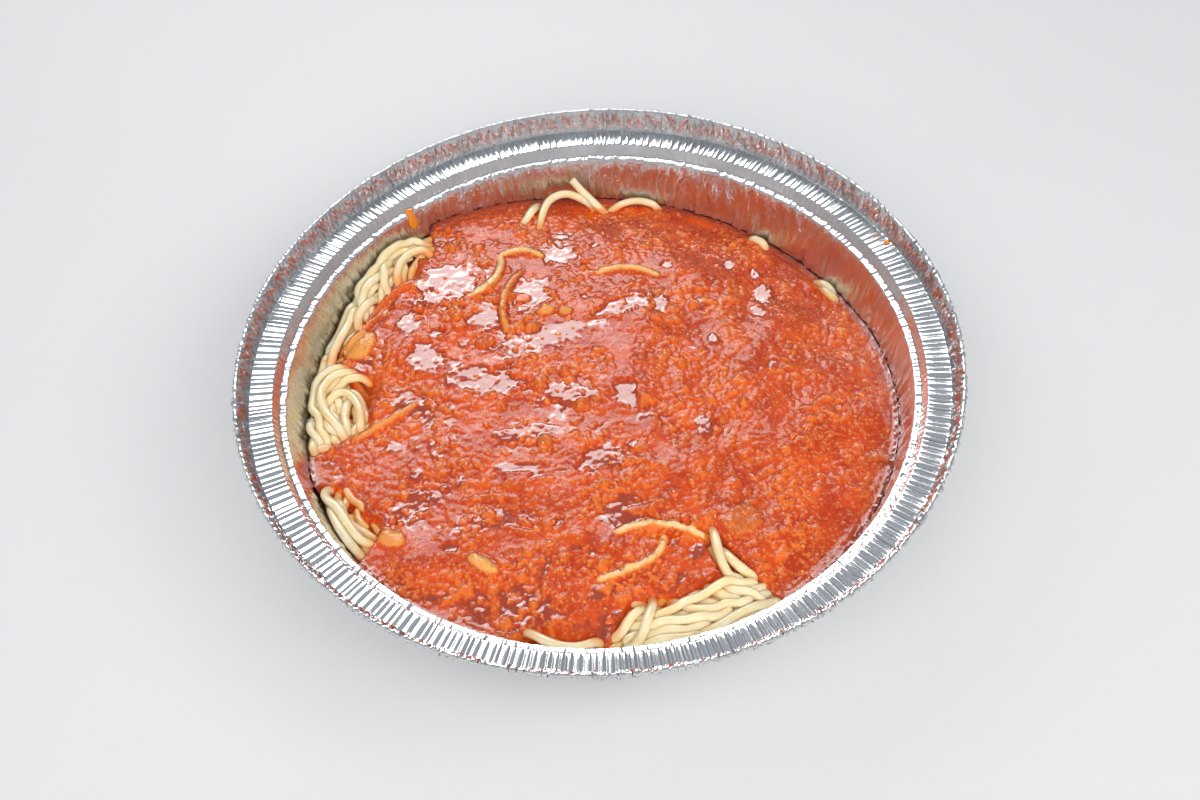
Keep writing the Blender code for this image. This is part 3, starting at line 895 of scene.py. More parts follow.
def strand_mesh(points, radius, sides, draw):
    """A tube along points, slightly uneven, with cut ends. Returns its points and faces."""
    count = len(points)
    along = np.gradient(points, axis=0)
    along /= np.linalg.norm(along, axis=1, keepdims=True)
    across = np.cross(along[0], (0.3, 0.2, 1.0))
    rings = []
    thick = radius * (1.0 + 0.05 * np.sin(np.linspace(0, draw.uniform(4, 12), count) + draw.uniform(0, 6)))
    for i in range(count):
        across = across - along[i] * np.dot(across, along[i])
        across /= np.linalg.norm(across)
        third = np.cross(along[i], across)
        turn = np.arange(sides) * 2 * np.pi / sides
        ring = np.outer(np.cos(turn), across) + np.outer(np.sin(turn), third)
        rings.append(points[i] + ring * thick[i])
    first_end = [points[0] + (rings[0] - points[0]) * 0.7 - along[0] * radius * 0.12]
    last_end = [points[-1] + (rings[-1] - points[-1]) * 0.7 + along[-1] * radius * 0.12]
    table = np.vstack(first_end + rings + last_end)
    faces = [face[::-1] for face in grid_faces(count + 2, sides)]
    faces.append(tuple(range(sides))[::-1])
    faces.append(tuple(range((count + 1) * sides, (count + 2) * sides)))
    return table, faces


def sunk_ends(line):
    """Carries a strand on at both ends, down into the heap."""
    before, after = [], []
    for step, drop in ((1, 0.5), (2, 1.7), (3, 3.4)):
        before.insert(0, line[0] + (line[0] - line[1]) * step - (0.0, 0.0, drop))
        after.append(line[-1] + (line[-1] - line[-2]) * step - (0.0, 0.0, drop))
    return np.vstack([before, line, after])


def smooth_line(points, copies):
    """A finer line through the same points."""
    padded = np.vstack([2 * points[0] - points[1], points, 2 * points[-1] - points[-2]])
    a, b, c, d = padded[:-3], padded[1:-2], padded[2:-1], padded[3:]
    pieces = []
    for share in np.arange(copies) / copies:
        pieces.append(
            0.5
            * (
                2 * b
                + (c - a) * share
                + (2 * a - 5 * b + 4 * c - d) * share**2
                + (3 * b - a - 3 * c + d) * share**3
            )
        )
    line = np.stack(pieces, axis=1).reshape(-1, 3)
    return np.vstack([line, points[-1]])


def loose_strand(draw):
    """A strand drawn into one of the bays, mostly along the wall."""
    shares = [max(0.0, width * (84.0 - reach) - 60.0) + 15.0 for _, width, reach in SAUCE_BAYS]
    middle, width, reach = SAUCE_BAYS[draw.choice(len(shares), p=np.array(shares) / sum(shares))]
    radius = draw.uniform(reach - 2.5, 80.0)
    direction = middle + draw.uniform(-1.1, 1.1) * width
    x, y = polar(radius, direction)
    heading = math.radians(direction + 90.0 + draw.normal(0.0, 15.0))
    bend = 1.0 / radius + draw.normal(0.0, 0.016)
    length = draw.uniform(24.0, 60.0)
    lift = draw.uniform(-5.4, -2.4)
    steps = int(length / STRAND_STEP)
    points = []
    for _ in range(steps):
        points.append((x, y, food_height(x, y) + lift))
        x, y = x + STRAND_STEP * math.cos(heading), y + STRAND_STEP * math.sin(heading)
        heading += bend * STRAND_STEP
    return sunk_ends(np.array(points))


def photo_axes():
    """The right, upward and forward directions of the photograph's camera."""
    tilt, roll = math.radians(PHOTO_TILT), math.radians(PHOTO_ROLL)
    forward = np.array((0.0, math.cos(tilt), -math.sin(tilt)))
    right = np.array((1.0, 0.0, 0.0))
    up = np.cross(right, forward)
    rolled = math.cos(roll) * right + math.sin(roll) * up
    return rolled, np.cross(forward, -rolled), forward


def on_level(u, v, height):
    """The place at a height that shows at a pixel of the photograph."""
    right, up, forward = photo_axes()
    eye = np.array(PHOTO_TARGET) - forward * PHOTO_DISTANCE
    across, down = (u - PHOTO_MIDDLE[0]) / PHOTO_FOCAL, (v - PHOTO_MIDDLE[1]) / PHOTO_FOCAL
    sight = forward + right * across - up * down
    return eye + sight * (height - eye[2]) / sight[2]


def on_food(u, v, lift):
    """The place over the food that shows at a pixel of the photograph."""
    height = MIDDLE_HEIGHT
    for _ in range(8):
        place = on_level(u, v, height)
        height = float(food_height(place[0], place[1])) + lift
    return place


def seen_oval(patch):
    """An oval patch of the photograph as an oval on the food."""
    u, v, half_length, half_width, turn = patch
    lean = math.radians(turn)
    middle = on_level(u, v, POOL_HEIGHT)
    end = on_level(u + half_length * math.cos(lean), v - half_length * math.sin(lean), POOL_HEIGHT) - middle
    side = on_level(u - half_width * math.sin(lean), v - half_width * math.cos(lean), POOL_HEIGHT) - middle
    turned = math.degrees(math.atan2(end[1], end[0]))
    return middle[0], middle[1], float(np.linalg.norm(end)), float(np.linalg.norm(side)), turned


def seen_strand(marks, step):
    """A smooth strand through marks read off the photograph, as evenly spaced points."""
    line = smooth_line(np.array([on_food(*mark) for mark in marks]), 12)
    along = np.concatenate([[0.0], np.cumsum(np.linalg.norm(np.diff(line, axis=0), axis=1))])
    even = np.linspace(0.0, along[-1], max(4, round(along[-1] / step)) + 1)
    return np.stack([np.interp(even, along, line[:, axis]) for axis in range(3)], axis=1)


def lower_neighbour(line, draw):
    """A strand that runs beside a seen one, lower in the heap."""
    turn = draw.normal(0.0, 0.25)
    middle = line.mean(axis=0)
    away = line - middle
    x = away[:, 0] * math.cos(turn) - away[:, 1] * math.sin(turn)
    y = away[:, 0] * math.sin(turn) + away[:, 1] * math.cos(turn)
    shift = (draw.normal(0.0, 1.4), draw.normal(0.0, 1.4), -3.2)
    return np.stack([x, y, away[:, 2]], axis=1) + middle + shift


def near_pairs(table, owner, reach):
    """Pairs of points within a distance, apart from neighbours along one strand."""
    order = np.arange(len(table))
    firsts, seconds = [], []
    for start in range(0, len(table), 400):
        rows = order[start : start + 400]
        distance = np.linalg.norm(table[rows][:, None] - table[None], axis=2)
        apart = (owner[rows][:, None] != owner[None]) | (order[None] > rows[:, None] + 3)
        i, j = np.nonzero((distance < reach) & apart & (order[None] > rows[:, None]))
        firsts.append(rows[i])
        seconds.append(j)
    return np.concatenate(firsts), np.concatenate(seconds)


def settled(strands, firm, radius, steps):
    """Pushes crossing strands apart, holding them in the pan and under the sauce.

    The first strands, as many as firm says, are laid ones that keep their place more.
    """
    table = np.vstack(strands)
    owner = np.concatenate([np.full(len(s), i) for i, s in enumerate(strands)])
    order = np.arange(len(table))
    give = np.where(owner < firm, 0.25, 1.0)[:, None]
    joined = owner[1:] == owner[:-1]
    spans = np.linalg.norm(np.diff(table, axis=0), axis=1)
    for step in range(steps):
        if step % 6 == 0:
            first, second = near_pairs(table, owner, 2 * radius + 1.5)
        table -= (0.0, 0.0, 0.03) * give
        gap = table[first] - table[second]
        distance = np.linalg.norm(gap, axis=1) + 1e-6
        push = gap * (np.maximum(0.0, 2 * radius - distance) / distance * 0.4)[:, None]
        move = np.zeros_like(table)
        np.add.at(move, first, push)
        np.add.at(move, second, -push)
        table += np.clip(move, -0.4, 0.4) * give
        for parity in (0, 1):
            link_start = np.flatnonzero(joined & (order[:-1] % 2 == parity))
            link = table[link_start + 1] - table[link_start]
            length = np.linalg.norm(link, axis=1)
            excess = (length - spans[link_start]) / np.maximum(length, 1e-6) * 0.5
            table[link_start] += link * excess[:, None]
            table[link_start + 1] -= link * excess[:, None]
        inner = np.flatnonzero(joined[1:] & joined[:-1]) + 1
        table[inner] += 0.12 * ((table[inner - 1] + table[inner + 1]) / 2 - table[inner]) * give[inner]
        table = held_in_pan(table, radius)
    return [table[owner == i] for i in range(len(strands))]


def inside_wall(table, radius):
    """Pulls points of a strand in from the foil wall."""
    x, y, z = table.T
    limit = wall_radius(z) - radius - WALL_GAP
    pull = np.minimum(1.0, limit / np.maximum(np.hypot(x, y), 1e-6))
    return np.stack([x * pull, y * pull, z], axis=1)


def held_in_pan(table, radius):
    """Keeps strands inside the wall, under the sauce and over the core."""
    x, y, z = inside_wall(table, radius).T
    surface = food_height(x, y)
    inside = sauce_edge(directions_of(x, y)) - np.hypot(x, y)
    ceiling = surface + HEAP_RISE - smooth_step(inside, -1.5, 2.5) * (HEAP_RISE + radius + 0.9)
    z = np.clip(z, surface - HEAP_DEPTH, np.maximum(ceiling, surface - 5.1))
    return np.stack([x, y, z], axis=1)


class TAKEAWAY_OT_lay_spaghetti(bpy.types.Operator):
    """Lays the bare strands that show beside the sauce over a core of spaghetti"""

    bl_idname = "takeaway.lay_spaghetti"
    bl_label = "Lay Spaghetti"

    def execute(self, context):
        settings = settings_of(context)[1]
        finish = spaghetti_material(settings)
        self.core(finish)
        draw = np.random.default_rng(21)
        seen = [seen_strand(marks, STRAND_STEP) for marks in SEEN_STRANDS]
        strands = [sunk_ends(line) for line in seen]
        for first, last, lift in WALL_STRANDS:
            strands.append(sunk_ends(arc_points((0, 0, WALL_STRAND_RADIUS, first, last, lift), STRAND_STEP)))
        firm = len(strands)
        on_top = [line for line, marks in zip(seen, SEEN_STRANDS) if marks[1][2] > 0.3]
        strands += [sunk_ends(lower_neighbour(line, draw)) for line in on_top]
        strands += [loose_strand(draw) for _ in range(settings.loose_strands)]
        radius = settings.strand_radius / MM
        steps = settings.settle_steps
        lines = [smooth_line(line, 2) for line in settled(strands, firm, radius, steps)]
        lines += [inside_wall(seen_strand(marks, FINE_STEP), radius) for marks in FAR_STRANDS]
        tubes = [strand_mesh(line, radius * draw.uniform(0.93, 1.06), 10, draw) for line in lines]
        points, faces = as_one_mesh(tubes)
        x, y, z = points.T
        inside = sauce_edge(directions_of(x, y)) - np.hypot(x, y)
        stain = smooth_step(inside, -3.2, 0.8) * smooth_step(food_height(x, y) + 2.4 - z, 0.0, 1.5)
        # Painted shade: how far a strand lies below the food's surface, which darkens its colour
        depth = smooth_step(food_height(x, y) - z, 0.0, 3.4)
        values = {"stain": stain, "depth": depth}
        mesh_piece("spaghetti_strands", points, faces, finish, "cooked_spaghetti", "spaghetti", values)
        return {"FINISHED"}

    def core(self, finish):
        """The mass of spaghetti below the strands that are laid one by one."""

        def edge(degrees):
            return wall_radius(height_at_wall(degrees) - 5.0) - 0.7

        around = np.arange(240) * 1.5
        outline = polar(edge(around), around)
        x, y, faces = triangulated(*outline, *sheet_points(edge, 2.2, 1.2))
        ridges = 0.9 * np.abs(noise_at(x, y, 3.0, 2.0, 4.0, 60.0))
        top = np.stack([x, y, food_height(x, y) - 4.6 + ridges], axis=1)
        count = len(around)
        foot = np.stack([*polar(72.5, around), np.full(count, 4.6)], axis=1)
        base = np.stack([*polar(68.5, around), np.full(count, 0.9)], axis=1)
        points = np.vstack([top, foot, base])
        first = len(top)
        faces += ring_faces(0, first, count) + ring_faces(first, first + count, count)
        faces.append(tuple(range(first + count, first + 2 * count))[::-1])
        # The core takes nearly the full painted shade of the heap's depth
        values = {"stain": np.full(len(points), 0.15), "depth": np.full(len(points), 0.9)}
        mesh_piece("spaghetti_core", points, faces, finish, "cooked_spaghetti", "spaghetti", values)


def sauce_level(x, y, relief):
    """The sauce's surface with its broad lumps."""
    lumps = noise_at(x, y, 20.0, 0.0) + 0.5 * noise_at(x, y, 11.0, 0.0)
    return food_height(x, y) + relief * lumps


def meat_lumps(x, y, size, place, kept):
    """Irregular rounded lumps from 0 to 1, one to a cell of about this size, in a share of cells."""
    bent_x = x + 0.35 * size * noise_at(x, y, size * 0.8, place + 11.0)
    bent_y = y + 0.35 * size * noise_at(x, y, size * 0.8, place + 17.0)
    height = np.zeros(len(x))
    for i, (a, b) in enumerate(zip(bent_x / size, bent_y / size)):
        away, middles = noise.voronoi(Vector((a, b, place)))
        middle = middles[0]
        pick = math.sin(middle.x * 12.99 + middle.y * 78.23 + middle.z * 37.7) * 43758.5
        pick -= math.floor(pick)
        if pick < kept:
            edge = min((away[1] - away[0]) / 0.28, 1.0)
            height[i] = max(0.0, 1.0 - (away[0] / 0.8) ** 2) * edge * (0.5 + 0.5 * pick / kept)
    return height


def oval_distance(x, y, oval):
    """The distance from an oval's middle at each point, where 1 is its edge."""
    middle_x, middle_y, half_length, half_width, turn = oval
    lean = math.radians(turn)
    across_x, across_y = x - middle_x, y - middle_y
    along = (across_x * math.cos(lean) + across_y * math.sin(lean)) / half_length
    aside = (across_y * math.cos(lean) - across_x * math.sin(lean)) / half_width
    return np.hypot(along, aside)


def add_lumps(x, y, height):
    """Raises the larger lumps. Returns the surface and how orange it is on them."""
    mask = np.zeros(len(x))
    for *oval, rise, orange in SAUCE_LUMPS:
        near = np.flatnonzero(oval_distance(x, y, oval) < 1.4)
        away = oval_distance(x[near], y[near], oval) ** 2 + 0.25 * noise_at(x[near], y[near], oval[3], 51.0)
        dome = np.sqrt(np.maximum(1.0 - away, 0.0))
        height[near] += rise * dome
        mask[near] = np.maximum(mask[near], orange * smooth_step(dome, 0.15, 0.6))
    return height, mask


def pool_surface(x, y, draw):
    """How far inside a pool each point is, from 0 at its ragged edge, and the pools' nearly flat level."""
    ovals = [seen_oval(patch) for patch in SAUCE_POOLS]
    weight = np.full(len(x), 1e-6)
    for _ in range(SMALL_POOLS):
        middle = polar(72.0 * math.sqrt(draw.uniform()), draw.uniform(0.0, 360.0))
        if draw.uniform() < 0.85 - middle[0] / 90.0:
            length = draw.uniform(0.8, 2.2)
            ovals.append((*middle, length, length * draw.uniform(0.45, 1.0), draw.normal(12.0, 25.0)))
    own = food_height(x, y)
    inside, level = np.zeros(len(x)), own * 1e-6
    ragged = 0.55 * noise_at(x, y, 3.2, 61.0, 1.5, 14.0) + 0.4 * noise_at(x, y, 1.3, 63.0)
    for oval in ovals:
        share = 1.0 - oval_distance(x, y, oval) + ragged * min(1.0, 0.4 + oval[3] / 6.0)
        inside = np.maximum(inside, share)
        pull = np.maximum(share + 0.5, 0.0) ** 3
        middle_height = food_height(*oval[:2])
        level += pull * (middle_height + 0.15 * (own - middle_height))
        weight += pull
    return inside, level / weight


def add_strands(x, y, height, radius, lines, film):
    """Raises the strands that lie just under the sauce. Returns the surface and a mask of them.

    Each comes as its line and how clean its top is.
    """
    mask = np.zeros(len(x))
    for line, clean in lines:
        low = line[:, :2].min(axis=0) - 4.0
        high = line[:, :2].max(axis=0) + 4.0
        near = np.flatnonzero((x > low[0]) & (x < high[0]) & (y > low[1]) & (y < high[1]))
        gaps = np.hypot(x[near][:, None] - line[None, :, 0], y[near][:, None] - line[None, :, 1])
        closest = gaps.argmin(axis=1)
        away = gaps.min(axis=1)
        reach = radius + film
        profile = line[closest, 2] + np.sqrt(np.maximum(reach**2 - away**2, 0.0))
        profile = np.where(away < reach, profile, -99.0)
        raised = smooth_max(profile, height[near], 0.7)
        shown = smooth_step(profile - height[near], -0.1, 0.6) * smooth_step(reach - away, 0.0, 0.85)
        mask[near] = np.maximum(mask[near], clean * shown)
        height[near] = raised
    return height, mask


class TAKEAWAY_OT_pour_sauce(bpy.types.Operator):
    """Pours the meat sauce over the spaghetti, with its crumbs and coated strands raised in it"""

    bl_idname = "takeaway.pour_sauce"
    bl_label = "Pour Meat Sauce"

    def execute(self, context):
        _, pasta, settings = settings_of(context)
        draw = np.random.default_rng(5)
        spacing = settings.spacing / MM * 1.0
        around = np.linspace(0.0, 360.0, round(SAUCE_EDGE_LENGTH / spacing), endpoint=False)
        at_wall = height_at_wall(around)
        edge = sauce_edge(around)
        touching = smooth_step(edge, wall_radius(at_wall) - 0.5, wall_radius(at_wall))
        depth = context.scene.takeaway_pan.wrinkle_depth / MM
        push = wall_wrinkle(around, at_wall) * wrinkle_share(at_wall) * depth
        outline = polar(edge - touching * (0.14 + push), around)
        x, y, faces = triangulated(*outline, *sheet_points(sauce_edge, spacing, 0.95))
        inside = sauce_edge(directions_of(x, y)) - np.hypot(x, y)
        level = sauce_level(x, y, settings.relief / MM)
        near_edge = 1.0 - smooth_step(inside, 1.5, 4.5)
        in_bay = np.clip(bay_share(directions_of(x, y)) * 3.0, 0.0, 1.0) * near_edge
        calm = (1.0 - smooth_step(inside, 1.6, 4.0)) * (1.0 - in_bay)
        level += (food_height(x, y) - level) * calm
        level += 0.8 * np.exp(-inside / 1.2) * (1.0 - in_bay) - 2.8 * np.exp(-inside / 2.6) * in_bay
        radius = pasta.strand_radius / MM
        hidden = self.hidden_strands(draw, radius)
        level, faint = add_strands(x, y, level, radius, hidden, 0.5)
        pool, flat = pool_surface(x, y, draw)
        still = smooth_step(pool, 0.0, 0.2) * smooth_step(inside, 1.2, 2.6)
        level += (flat - level) * still
        level, strand = add_strands(x, y, level, radius, self.coated_strands(), 0.15)
        level, orange = add_lumps(x, y, level)
        strand = np.maximum(strand, np.maximum(0.6 * orange, faint))
        level, crumb = self.raise_crumbs(x, y, level, inside, 1.0 - 0.45 * still)
        wet = smooth_step(-(x + 0.2 * y), -40.0, 8.0)
        waver = noise_at(x, y, 9.0, 3.0, 1.5, 14.0) + 0.8 * noise_at(x, y, 3.0, 4.0)
        seep = sauce_level(x, y, settings.relief / MM * 0.5) - 0.95 + 0.5 * wet + 0.6 * waver
        ripple = 0.1 + 0.09 * noise_at(x, y, 2.4, 71.0, 2.0, 14.0)
        seep = np.minimum(seep, np.maximum(level + 0.15, flat + 0.4))
        pool_level = np.where(still > 0.5, flat + ripple, seep)
        rim = inside > spacing
        level = np.where(rim & (in_bay < 0.5), smooth_max(level, pool_level, 0.2), level)
        sunk = smooth_step(level - pool_level, 0.03, 0.3)
        sunk = np.minimum(sunk, 1.0 - np.exp(-((inside / 1.5) ** 2)) * (1.0 - in_bay))
        sunk = np.maximum(sunk, in_bay)
        top = np.stack([x, y, level], axis=1)
        count = len(around)
        skirt = top[:count].copy()
        skirt[:, :2] *= 0.982
        skirt[:, 2] -= 2.4
        points = np.vstack([top, skirt])
        first = len(top)
        faces += ring_faces(0, first, count)
        faces.append(tuple(range(first, first + count))[::-1])
        values = {
            "crumb": np.r_[crumb * sunk, np.zeros(count)],
            "strand": np.r_[strand * sunk, np.zeros(count)],
            "pool": np.r_[1.0 - sunk, np.zeros(count)],
        }
        grain = bpy.data.node_groups.get("Food grain") or grain_group()
        finish = sauce_material(settings, grain)
        mesh_piece("sauce_layer", points, faces, finish, "meat_sauce", "meat_sauce", values)
        self.loose_crumbs(draw, settings, grain, x, y, level)
        self.pepper(draw, x, y, level)
        return {"FINISHED"}

    def coated_strands(self):
        """The strands that stand out of the sauce, each dipping into it at its ends."""
        lines = []
        for arc in COATED_STRANDS:
            lines.append((self.dipped(arc_points(arc[:6], FINE_STEP)), arc[6]))
        for clean, marks in COATED_MARKS:
            lines.append((self.dipped(seen_strand(marks, FINE_STEP)), clean))
        return lines

    def dipped(self, line):
        """Lowers a coated strand into the sauce, most at its ends."""
        bow = np.sin(np.linspace(0.05, math.pi - 0.05, len(line))) ** 0.6
        line[:, 2] -= 0.45 + 1.5 * (1.0 - bow)
        return line

    def hidden_strands(self, draw, radius):
        """Strands just under the sauce, which show as faint ridges."""
        lines = []
        for _ in range(FAINT_STRANDS):
            turn = draw.uniform(0.0, 360.0)
            x, y = polar(72.0 * math.sqrt(draw.uniform()), turn)
            arc_radius = draw.uniform(12.0, 45.0)
            first = draw.uniform(0.0, 360.0)
            sweep = math.degrees(draw.uniform(14.0, 40.0) / arc_radius)
            offset_x, offset_y = polar(arc_radius, first + sweep / 2)
            arc = (x - offset_x, y - offset_y, arc_radius, first, first + sweep, 0.0)
            line = arc_points(arc, FINE_STEP)
            bow = np.sin(np.linspace(0.0, math.pi, len(line)))
            line[:, 2] += draw.uniform(-1.9, -0.9) - 1.6 * radius * (1.0 - bow)
            lines.append((line, 0.12))
        return lines

    def raise_crumbs(self, x, y, level, inside, share):
        """Raises the meat in four sizes, gathered in loose clusters and lower where share is low."""
        crowd = 0.65 + 0.9 * noise_at(x, y, 13.0, 7.0)
        crumb = np.zeros(len(x))
        for size, place, kept, rise in CRUMB_SIZES:
            lumps = meat_lumps(x, y, size, place, kept) * np.clip(crowd, 0.25, 1.2)
            level = level + rise * lumps * share * smooth_step(inside, 0.8, 2.8)
            crumb = np.maximum(crumb, lumps)
        return level, np.clip(crumb, 0.0, 1.0)

    def loose_crumbs(self, draw, settings, grain, x, y, level):
        """Rough lumps of meat, half sunk, as one mesh."""
        ball = bmesh.new()
        bmesh.ops.create_icosphere(ball, subdivisions=2, radius=1.0)
        shape = np.array([v.co for v in ball.verts])
        triangles = [tuple(v.index for v in f.verts) for f in ball.faces]
        ball.free()
        lumps, tones = [], []
        for number in range(settings.loose_crumbs):
            index = draw.integers(len(x))
            if np.hypot(x[index], y[index]) > sauce_edge(directions_of(x[index], y[index])) - 2.0:
                continue
            radius = 0.45 + 0.85 * draw.uniform() ** 2.0
            shift = Vector((number * 3.1, 0.0, 0.0))
            lump = shape * draw.uniform(0.65, 1.3, 3)
            broad = np.array([noise.noise(Vector(p * 1.3) + shift) for p in lump])
            small = np.array([noise.noise(Vector(p * 3.4) - shift) for p in lump])
            lump = lump * (1.0 + 0.6 * broad + 0.3 * small)[:, None]
            about_z = Matrix.Rotation(draw.uniform(0, 6.28), 3, "Z")
            about_x = Matrix.Rotation(draw.uniform(0, 6.28), 3, "X")
            lump = lump @ np.array(about_z @ about_x).T * radius
            lump += (x[index], y[index], level[index] - radius * draw.uniform(0.3, 0.7))
            lumps.append((lump, triangles))
            tones.append(np.full(len(shape), draw.uniform()))
        finish = crumb_material(settings, grain)
        values = {"tone": np.concatenate(tones)}
        mesh_piece("meat_crumbs", *as_one_mesh(lumps), finish, "meat_sauce", None, values)

    def pepper(self, draw, x, y, level):
        """Black specks of pepper, as one mesh."""
        specks = []
        corners = np.array([(1, 0, 0), (0, 1, 0), (-1, 0, 0), (0, -1, 0), (0, 0, 0.8), (0, 0, -0.8)], float)
        sides = ((0, 1, 4), (1, 2, 4), (2, 3, 4), (3, 0, 4), (1, 0, 5), (2, 1, 5), (3, 2, 5), (0, 3, 5))
        for _ in range(PEPPER_SPECKS):
            index = draw.integers(len(x))
            speck = corners * draw.uniform(0.6, 1.3, corners.shape) * draw.uniform(0.16, 0.34)
            speck += (x[index], y[index], level[index] + 0.02)
            specks.append((speck, sides))
        finish = plain_material("Black pepper", (0.03, 0.02, 0.015), 0.5)
        mesh_piece("pepper_specks", *as_one_mesh(specks), finish, "meat_sauce", None)


class TAKEAWAY_OT_drip_oil(bpy.types.Operator):
    """Leaves drips of orange oil on the foil"""

    bl_idname = "takeaway.drip_oil"
    bl_label = "Drip Oil"

    # Direction, radius and height, half width, half length, thickness, lean of the foil from upright
    drops = (
        (129.2, 82.1, 30.2, 1.5, 3.0, 0.8, 16.2),
        (129.1, 83.6, 32.8, 1.5, 1.0, 0.4, 75.0),
        (25.9, 91.3, 35.75, 1.1, 0.8, 0.5, 85.0),
        (28.4, 90.4, 35.6, 0.5, 0.5, 0.3, 85.0),
    )

    def execute(self, context):
        points, faces = as_one_mesh([self.drop(*drop) for drop in self.drops])
        finish = plain_material("Orange oil", (0.90, 0.27, 0.015), 0.15, 0.6)
        mesh_piece("oil_drips", points, faces, finish, "meat_sauce", None)
        return {"FINISHED"}

    def drop(self, degrees, radius, height, half_width, half_length, thick, lean):
        """A flat-backed drop on the foil, rounder at its foot."""
        rings, sides = 7, 20
        turn = np.arange(sides) * 2 * np.pi / sides
        slope = math.radians(lean)
        table = []
        for i in range(rings):
            bend = 0.96 * i / (rings - 1) * math.pi / 2
            share = math.cos(bend)
            swell = thick * math.sin(bend) - 0.1
            along = half_length * share * np.sin(turn)
            across = half_width * share * np.cos(turn) * (1.0 - 0.3 * np.sin(turn))
            out = radius + along * math.sin(slope) - swell * math.cos(slope)
            up = height + along * math.cos(slope) + swell * math.sin(slope)
            x, y = polar(out, degrees + np.degrees(across / radius))
            table.append(np.stack([x, y, up], axis=1))
        faces = grid_faces(rings, sides)
        faces.append(tuple(range(sides)))
        faces.append(tuple(range((rings - 1) * sides, rings * sides))[::-1])
        return np.vstack(table), faces


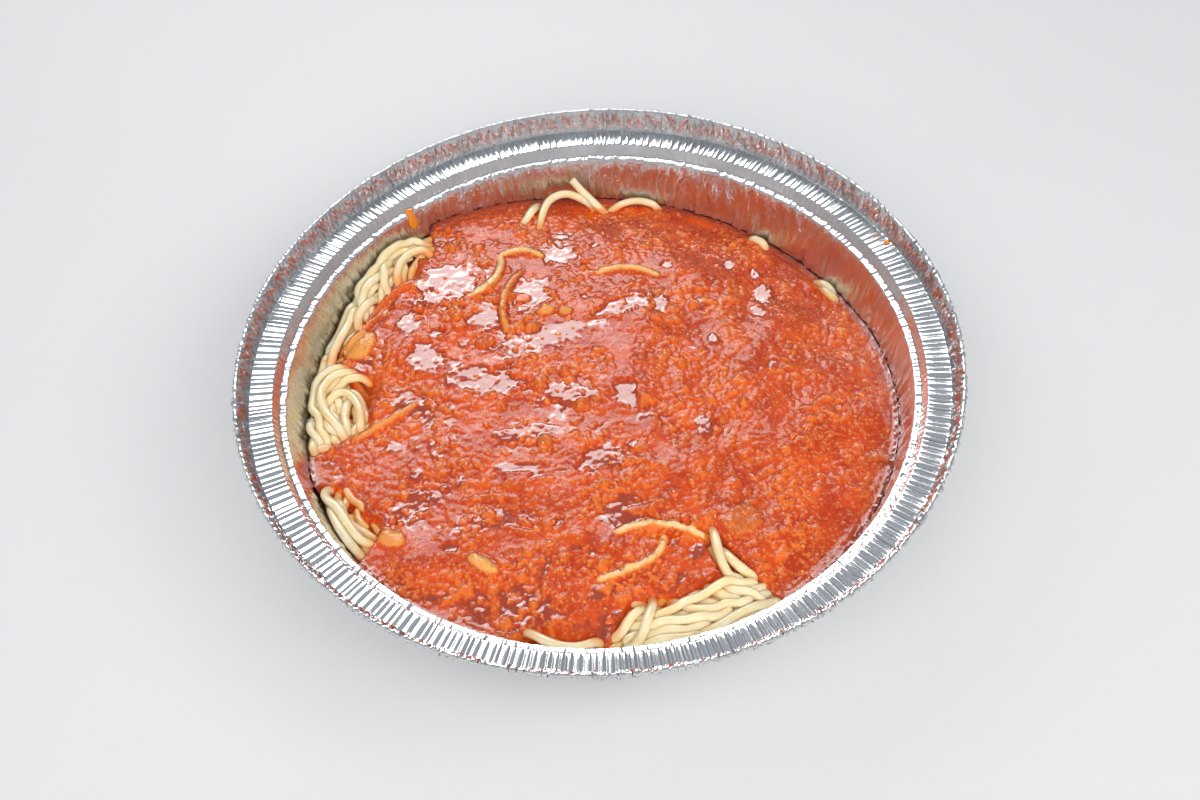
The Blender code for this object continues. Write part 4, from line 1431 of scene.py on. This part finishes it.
class TAKEAWAY_OT_set_stage(bpy.types.Operator):
    """Sets the table, the soft studio light and the camera"""

    bl_idname = "takeaway.set_stage"
    bl_label = "Set Stage"

    def execute(self, context):
        settings = context.scene.takeaway_stage
        self.table(settings)
        self.lights(context, settings)
        self.camera(context, settings)
        return {"FINISHED"}

    def table(self, settings):
        mesh = bpy.data.meshes.new("table")
        shape = bmesh.new()
        bmesh.ops.create_grid(shape, x_segments=2, y_segments=2, size=3.0)
        shape.to_mesh(mesh)
        shape.free()
        table = bpy.data.objects.new("table", mesh)
        bpy.context.scene.collection.objects.link(table)
        mesh.materials.append(plain_material("Pale table", settings.floor_colour, 0.6, 0.0, 330.0, 0.97))

    def lights(self, context, settings):
        world = bpy.data.worlds.new("Soft room")
        world.use_nodes = True
        world.node_tree.nodes.clear()
        build = NodeBuilder(world.node_tree)
        facing = build.add("ShaderNodeTexCoord").outputs["Generated"]
        parts = build.add("ShaderNodeSeparateXYZ", {"Vector": facing})
        behind = build.ramp(parts.outputs["Y"], -0.55, 0.55)
        low = build.mix(behind, (0.42, 0.38, 0.37, 1.0), (0.34, 0.34, 0.35, 1.0))
        high = build.mix(behind, (0.56, 0.56, 0.57, 1.0), (0.24, 0.25, 0.27, 1.0))
        level = build.mix(build.ramp(parts.outputs["Z"], 0.1, 0.45), low, high)
        tone = build.mix(build.ramp(parts.outputs["Z"], 0.5, 0.95), level, (0.34, 0.37, 0.41, 1.0))
        back = build.add("ShaderNodeBackground", {"Color": tone, "Strength": settings.room_light})
        end = build.add("ShaderNodeOutputWorld")
        build.feed(end.inputs["Surface"], back.outputs["Background"])
        context.scene.world = world
        key = self.soft_light("key", -7.5, 46.8, 1.1, (0.74, 0.36), settings.key_power)
        veil = self.soft_light("veil", -12.0, 33.0, 1.2, (0.95, 0.36), settings.veil_power)
        for lamp in (key, veil):
            lamp.visible_diffuse = False
        overhead = self.soft_light("overhead", 183.0, 50.0, 1.25, (1.3, 1.0), settings.overhead_power)
        side = self.soft_light("side", 118.0, 45.0, 1.3, (0.8, 0.6), settings.side_power)
        fill = self.soft_light("fill", -70.0, 45.0, 1.3, (0.8, 0.6), settings.fill_power)
        for lamp in (overhead, side, fill):
            lamp.visible_glossy = False

    def soft_light(self, name, azimuth, elevation, distance, size, power):
        """A rectangular light that faces the pan. Azimuth 0 is behind it and 90 is on its right."""
        turn, rise = math.radians(90.0 - azimuth), math.radians(elevation)
        away = Vector((math.cos(turn) * math.cos(rise), math.sin(turn) * math.cos(rise), math.sin(rise)))
        data = bpy.data.lights.new(name, "AREA")
        data.shape = "RECTANGLE"
        data.size, data.size_y = size
        data.energy = power
        lamp = bpy.data.objects.new(name, data)
        bpy.context.scene.collection.objects.link(lamp)
        lamp.location = away * distance + Vector((0, 0, 0.03))
        lamp.rotation_euler = away.to_track_quat("Z", "Y").to_euler()
        return lamp

    def camera(self, context, settings):
        forward = Vector((0.0, math.cos(settings.elevation), -math.sin(settings.elevation)))
        up = Vector((1.0, 0.0, 0.0)).cross(forward)
        axes = Matrix((Vector((1.0, 0.0, 0.0)), up, -forward)).transposed()
        data = bpy.data.cameras.new("camera")
        data.lens = settings.lens
        data.sensor_width = 36.0
        data.clip_start = 0.01
        camera = bpy.data.objects.new("camera", data)
        context.scene.collection.objects.link(camera)
        turned = axes @ Matrix.Rotation(settings.roll, 3, "Z")
        eye = Vector(settings.target) - forward * settings.distance
        camera.matrix_world = Matrix.Translation(eye) @ turned.to_4x4()
        context.scene.camera = camera
        context.scene.view_settings.view_transform = "Standard"


class TAKEAWAY_PT_panel(bpy.types.Panel):
    """Lists the pieces of the takeaway"""

    bl_label = "Spaghetti in a Foil Pan"
    bl_idname = "TAKEAWAY_PT_panel"
    bl_space_type = "VIEW_3D"
    bl_region_type = "UI"
    bl_category = "Takeaway"

    def draw(self, context):
        for operator in OPERATORS:
            self.layout.operator(operator.bl_idname)
        for name in GROUPS:
            box = self.layout.box()
            group = getattr(context.scene, name)
            for label in group.__annotations__:
                box.prop(group, label)


OPERATORS = (
    TAKEAWAY_OT_press_pan,
    TAKEAWAY_OT_lay_spaghetti,
    TAKEAWAY_OT_pour_sauce,
    TAKEAWAY_OT_drip_oil,
    TAKEAWAY_OT_set_stage,
)
GROUPS = {
    "takeaway_pan": PanSettings,
    "takeaway_spaghetti": SpaghettiSettings,
    "takeaway_sauce": SauceSettings,
    "takeaway_stage": StageSettings,
}


def register():
    for group in GROUPS.values():
        bpy.utils.register_class(group)
    for name, group in GROUPS.items():
        setattr(bpy.types.Scene, name, PointerProperty(type=group))
    for operator in OPERATORS:
        bpy.utils.register_class(operator)
    bpy.utils.register_class(TAKEAWAY_PT_panel)


def unregister():
    bpy.utils.unregister_class(TAKEAWAY_PT_panel)
    for operator in reversed(OPERATORS):
        bpy.utils.unregister_class(operator)
    for name in GROUPS:
        delattr(bpy.types.Scene, name)
    for group in reversed(GROUPS.values()):
        bpy.utils.unregister_class(group)


def main():
    register()
    bpy.ops.takeaway.press_pan()
    bpy.ops.takeaway.lay_spaghetti()
    bpy.ops.takeaway.pour_sauce()
    bpy.ops.takeaway.drip_oil()
    bpy.ops.takeaway.set_stage()


if __name__ == "__main__":
    main()
